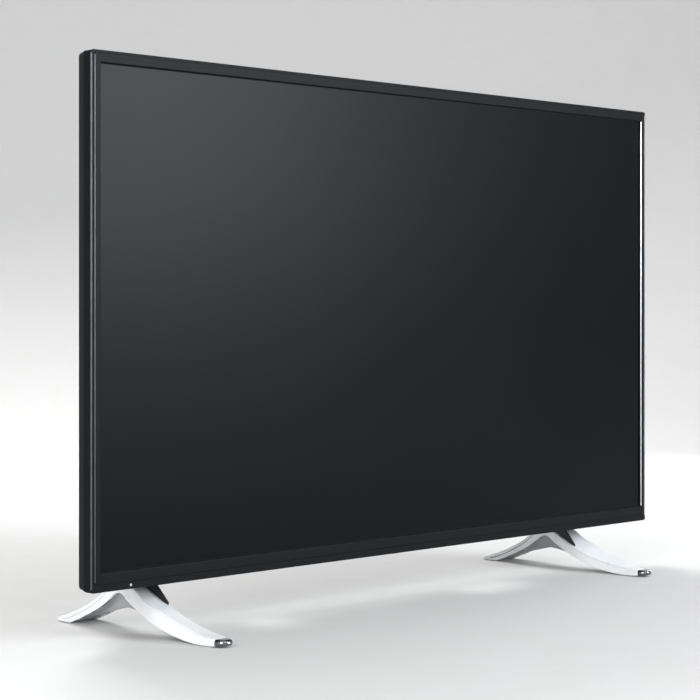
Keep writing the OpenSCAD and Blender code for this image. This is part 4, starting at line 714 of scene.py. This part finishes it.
# Pins are (count, pitch, half width), the video pins share out their row. Edges count in from the socket's own box.
socketFit = {
    "back": 1.9, "setIn": 1.6, "round": 0.25, "tongue": 0.7, "tongueEdge": 1.9, "videoPins": (10, 0.25), "pinEdge": 2.9,
    "dataTongue": (1.5, 3.3), "dataEdge": 1.3, "dataPins": (4, 2.3, 0.55),
    "cardPins": (34, 1.27, 0.2), "cardRow": 0.7, "cardReach": 9, "rail": (3.2, 4.4), "railEdge": (1, 2.2),
    "networkPins": (8, 1.02, 0.2), "networkSide": 1.6, "networkTongue": (1.6, 3.4), "networkPinDeep": (3.3, 3.7),
    "networkLow": (4, 4.4), "networkHigh": 2.1, "railRound": 0.2, "pinProud": 0.1, "videoShort": 0.8, "dataShort": 1,
    "dataProud": 0.15, "cardHalf": 0.2, "railShort": 2,
}


def pinPlaces(middle, pins):  # low and high edge of each pin in a row
    count, pitch, half = pins
    places = [middle + (i - (count - 1) / 2) * pitch for i in range(count)]
    return [(place - half, place + half) for place in places]


def makeTongues():
    bm = bmesh.new()
    back, setIn, rounding, proud = (socketFit[key] for key in ("back", "setIn", "round", "pinProud"))
    for node in ("hdmi_socket_1", "hdmi_socket_2"):
        low, high = nodeBox(node)
        middle, half, edge = (low.y + high.y) / 2, socketFit["tongue"], socketFit["tongueEdge"]
        ends = (low.x + back, high.x - setIn)
        slabIn(bm, ends, (middle - half, middle + half), (low.z + edge, high.z - edge), rounding)
        count, wide = socketFit["videoPins"]
        pitch = (high.z - low.z - 2 * socketFit["pinEdge"]) / (count - 1)
        for z in pinPlaces((low.z + high.z) / 2, (count, pitch, wide)):
            slabIn(bm, (ends[0], ends[1] - socketFit["videoShort"]),
                   (middle - half - proud, middle + half + proud), z, 0, 1)
    for node in ("usb_socket_1", "usb_socket_2"):
        low, high = nodeBox(node)
        ends, edge = (low.x + back, high.x - setIn), socketFit["dataEdge"]
        under, over = (low.y + depth for depth in socketFit["dataTongue"])
        slabIn(bm, ends, (under, over), (low.z + edge, high.z - edge), rounding)
        for z in pinPlaces((low.z + high.z) / 2, socketFit["dataPins"]):
            slabIn(bm, (ends[0], ends[1] - socketFit["dataShort"]),
                   (over - proud, over + socketFit["dataProud"]), z, 0, 1)
    low, high = nodeBox("card_slot")
    thick = socketFit["railEdge"][1] - socketFit["railEdge"][0]
    for z in (low.z + socketFit["railEdge"][0], high.z - socketFit["railEdge"][1]):  # guide rails for the card
        slabIn(bm, (low.x + back, high.x - socketFit["railShort"]), tuple(low.y + depth for depth in socketFit["rail"]),
               (z, z + thick), socketFit["railRound"])
    for row in (-socketFit["cardRow"], socketFit["cardRow"]):
        y, half = (low.y + high.y) / 2 + row, socketFit["cardHalf"]
        for z in pinPlaces((low.z + high.z) / 2, socketFit["cardPins"]):
            slabIn(bm, (low.x + back, low.x + socketFit["cardReach"]), (y - half, y + half), z, 0, 1)
    low, high = nodeBox("network_socket")
    side, (tongueLow, pinLow), top = socketFit["networkSide"], socketFit["networkLow"], high.z - socketFit["networkHigh"]
    tongueDeep = tuple(low.y + depth for depth in socketFit["networkTongue"])
    pinDeep = tuple(low.y + depth for depth in socketFit["networkPinDeep"])
    slabIn(bm, (low.x + side, high.x - side), tongueDeep, (low.z + tongueLow, top), socketFit["railRound"])
    for x in pinPlaces((low.x + high.x) / 2, socketFit["networkPins"]):
        slabIn(bm, x, pinDeep, (low.z + pinLow, top), 0, 1)
    finishPiece(bm, "socketTongues", "television", ["socketBlack", "gold"])


# Profiles of (radius, height above the socket's mouth)
jackFit = {
    "ring": ((1.85, -1), (1.85, 0.25), (2.1, 0.45), (3.0, 0.45), (3.25, 0.2), (3.25, -0.2), (1.85, -1)), "bodyHalf": 4.5,
    "aerial": ((0, -8), (3.6, -8), (3.6, -6.4), (1.6, -6.4), (1.6, -2.2), (1.3, -1.8), (0.7, -1.8), (0.6, -5), (0, -5)),
    "pin": ((0, -4.9), (0.7, -4.9), (1.15, -5.5), (1.22, -6.2), (1.22, -19)), "pinOut": 4.3,
}


def makeJackRings():
    bm = bmesh.new()
    low, high = nodeBox("headphone_jack")
    turned(bm, jackFit["ring"], (1, 0, 0), (high.x, (low.y + high.y) / 2, (low.z + high.z) / 2))
    low, high = nodeBox("audio_jacks")
    for x, index in ((low.x + jackFit["bodyHalf"], 1), (high.x - jackFit["bodyHalf"], 2)):
        turned(bm, jackFit["ring"], (0, 0, -1), (x, (low.y + high.y) / 2, low.z), index=index)
    low, high = nodeBox("antenna_socket")
    turned(bm, jackFit["aerial"], (0, 0, -1), ((low.x + high.x) / 2, (low.y + high.y) / 2, low.z), index=3)
    finishPiece(bm, "jackRings", "television", ["socketMetal", "jackGreen", "jackBlue", "gold"])


def makeInletPins():
    low, high = nodeBox("mains_inlet")
    bm = bmesh.new()
    for x in (-jackFit["pinOut"], jackFit["pinOut"]):
        turned(bm, jackFit["pin"], (0, 0, -1), ((low.x + high.x) / 2 + x, (low.y + high.y) / 2, low.z), steps=20)
    finishPiece(bm, "inletPins", "television", ["socketMetal"])


# Widths and the head's height are shares of the shank's radius, the heights on it are shares of its own height
screwHead = {"tall": 1.4, "dome": ((2, 0), (2, 0.45), (1.75, 0.8), (1.5, 0.95)), "arm": 1.24, "slot": 0.34,
             "deep": 0.55, "taper": 0.7}


def crossScrew(bm, r, length, way, place):  # a domed head with a cross recess, on its shank
    before = set(bm.verts)
    high = screwHead["tall"] * r
    loops = []
    for radius, height in [(r, -length), (r, 0)] + [(share * r, rise * high) for share, rise in screwHead["dome"]]:
        known = set(bm.edges)
        made = bmesh.ops.create_circle(bm, cap_ends=False, segments=24, radius=radius)["verts"]
        bmesh.ops.translate(bm, vec=(0, 0, height), verts=made)
        loops.append([e for e in bm.edges if e not in known])
    arm, half = r * screwHead["arm"], r * screwHead["slot"]
    corners = [(arm, half), (half, half), (half, arm), (-half, arm), (-half, half), (-arm, half),
               (-arm, -half), (-half, -half), (-half, -arm), (half, -arm), (half, -half), (arm, -half)]
    cross = [bm.verts.new((x, y, high)) for x, y in corners]
    loops.append([bm.edges.new(pair) for pair in zip(cross, cross[1:] + cross[:1])])
    for first, second in zip(loops, loops[1:]):
        bmesh.ops.bridge_loops(bm, edges=first + second)
    sunk = bmesh.ops.extrude_edge_only(bm, edges=loops[-1])["geom"]
    floor = [v for v in sunk if isinstance(v, bmesh.types.BMVert)]
    bmesh.ops.scale(bm, vec=(screwHead["taper"], screwHead["taper"], 1), verts=floor)
    bmesh.ops.translate(bm, vec=(0, 0, -screwHead["deep"] * high), verts=floor)
    fresh = [v for v in bm.verts if v not in before]
    bmesh.ops.holes_fill(bm, edges=[e for e in {e for v in fresh for e in v.link_edges} if e.is_boundary])
    bmesh.ops.recalc_face_normals(bm, faces=list({f for v in fresh for f in v.link_faces}))
    pointAlong(bm, fresh, way, place)


def looseShells(node):  # low and high corner of each loose shell of a node
    bm = cadCopy(node)
    left, found = set(bm.verts), []
    while left:
        shell, front = set(), {left.pop()}
        while front:
            shell |= front
            front = {e.other_vert(v) for v in front for e in v.link_edges} - shell
        left -= shell
        found.append([Vector(pick(v.co[i] for v in shell) for i in range(3)) / mm for pick in (min, max)])
    bm.free()
    return found


def makeScrews():
    for node, name, r in (("cover_screws", "coverScrews", 1.5), ("foot_screws", "footScrews", 2)):
        bm = bmesh.new()
        head = screwHead["tall"] * r
        for low, high in looseShells(node):
            middle, size = (low + high) / 2, high - low
            if size.y > size.z:  # driven from the back, the others from below
                crossScrew(bm, r, size.y - head, (0, 1, 0), (middle.x, high.y - head, middle.z))
            else:
                crossScrew(bm, r, size.z - head, (0, 0, -1), (middle.x, middle.y, low.z + head))
        finishPiece(bm, name, "television", ["steel"], [node])


makeTongues()
makeJackRings()
makeInletPins()
makeScrews()
print("small parts made")


# Studio: a pale sweep, soft boxes, and the camera where the photograph was taken
studio = {"paper": "#bcbcbb", "paperShade": "#bbbab9", "radius": 5.6, "bend": 3.0, "tall": 4.2,
          "air": "#e4e7ea", "airPower": 0.4, "washes": ((45, 88), (135, 60), (225, 60), (300, 25)),
          "washFrom": (1.7, 3.0), "washTo": (5.2, 1.0)}  # each is a distance out and a height


def makeSweep():
    bm = bmesh.new()
    flat, bend = studio["radius"] - studio["bend"], studio["bend"]
    turns = [math.radians(a) for a in range(10, 91, 10)]
    curve = [(flat + bend * math.sin(a), bend - bend * math.cos(a)) for a in turns]
    spun(bm, [(0, 0), (flat, 0)] + curve + [(studio["radius"], studio["tall"])], 72)
    bmesh.ops.remove_doubles(bm, verts=bm.verts, dist=0.0001)
    bmesh.ops.recalc_face_normals(bm, faces=bm.faces)
    mesh = bpy.data.meshes.new("studioSweep")
    bm.to_mesh(mesh)
    bm.free()
    mesh.polygons.foreach_set("use_smooth", [True] * len(mesh.polygons))
    sweep = bpy.data.objects.new("studioSweep", mesh)
    bpy.context.scene.collection.objects.link(sweep)
    mesh.materials.append(mouldedPlastic("matt_paper_sweep", studio["paper"], studio["paperShade"], 0.8, 40, 0.0))


def softBox(name, place, target, width, height, power, tint="#ffffff"):
    lamp = bpy.data.lights.new(name, "AREA")
    lamp.shape = "RECTANGLE"
    lamp.size, lamp.size_y = width, height
    lamp.energy = power
    lamp.color = linearColour(tint)[:3]
    holder = bpy.data.objects.new(name, lamp)
    holder.location = place
    holder.rotation_euler = (Vector(target) - Vector(place)).to_track_quat("-Z", "Y").to_euler()
    holder.visible_camera = False
    bpy.context.scene.collection.objects.link(holder)


makeSweep()
softBox("screenGlow", (1.45, -2.55, 1.2), (-0.3, -0.05, 0.5), 1.1, 1.5, 125, "#eef5fa")
softBox("leftFront", (-2.3, -0.8, 0.9), (-0.4, 0, 0.2), 1.3, 1.6, 48)
softBox("cameraFill", (-0.9, -3.0, 1.7), (0, 0, 0.05), 1.8, 1.4, 30)
softBox("overhead", (0.0, -0.2, 2.8), (0, 0, 0), 2.6, 2.2, 14)
softBox("rightStrip", (2.2, 0.45, 0.7), (0.4, 0, 0.35), 0.6, 1.6, 14)
softBox("backFill", (1.0, 2.4, 2.6), (0.1, 0, 0.25), 1.8, 1.5, 95)
for bearing, power in studio["washes"]:  # they lift the paper behind each view
    across = Vector((math.cos(math.radians(bearing)), math.sin(math.radians(bearing)), 0))
    start, end = (out * across + Vector((0, 0, up)) for out, up in (studio["washFrom"], studio["washTo"]))
    softBox("sweepWash", start, end, 2.6, 1.6, power)

world = bpy.data.worlds.new("studioAir")
bpy.context.scene.world = world
world.use_nodes = True
world.node_tree.nodes["Background"].inputs["Color"].default_value = linearColour(studio["air"])
world.node_tree.nodes["Background"].inputs["Strength"].default_value = studio["airPower"]

photoCamera = {"lens": 100.6, "sensor": 36, "shiftY": -0.0704, "far": 60,
               "place": (-1.745, -1.6724, 0.36505), "turn": -45.386}
view = bpy.data.cameras.new("photoView")
view.lens = photoCamera["lens"]
view.sensor_width = photoCamera["sensor"]
view.shift_y = photoCamera["shiftY"]
view.clip_end = photoCamera["far"]
viewer = bpy.data.objects.new("photoView", view)
viewer.location = photoCamera["place"]
viewer.rotation_euler = (math.radians(90), 0, math.radians(photoCamera["turn"]))
bpy.context.scene.collection.objects.link(viewer)
bpy.context.scene.camera = viewer
bpy.context.scene.view_settings.view_transform = "Standard"
print("studio ready")
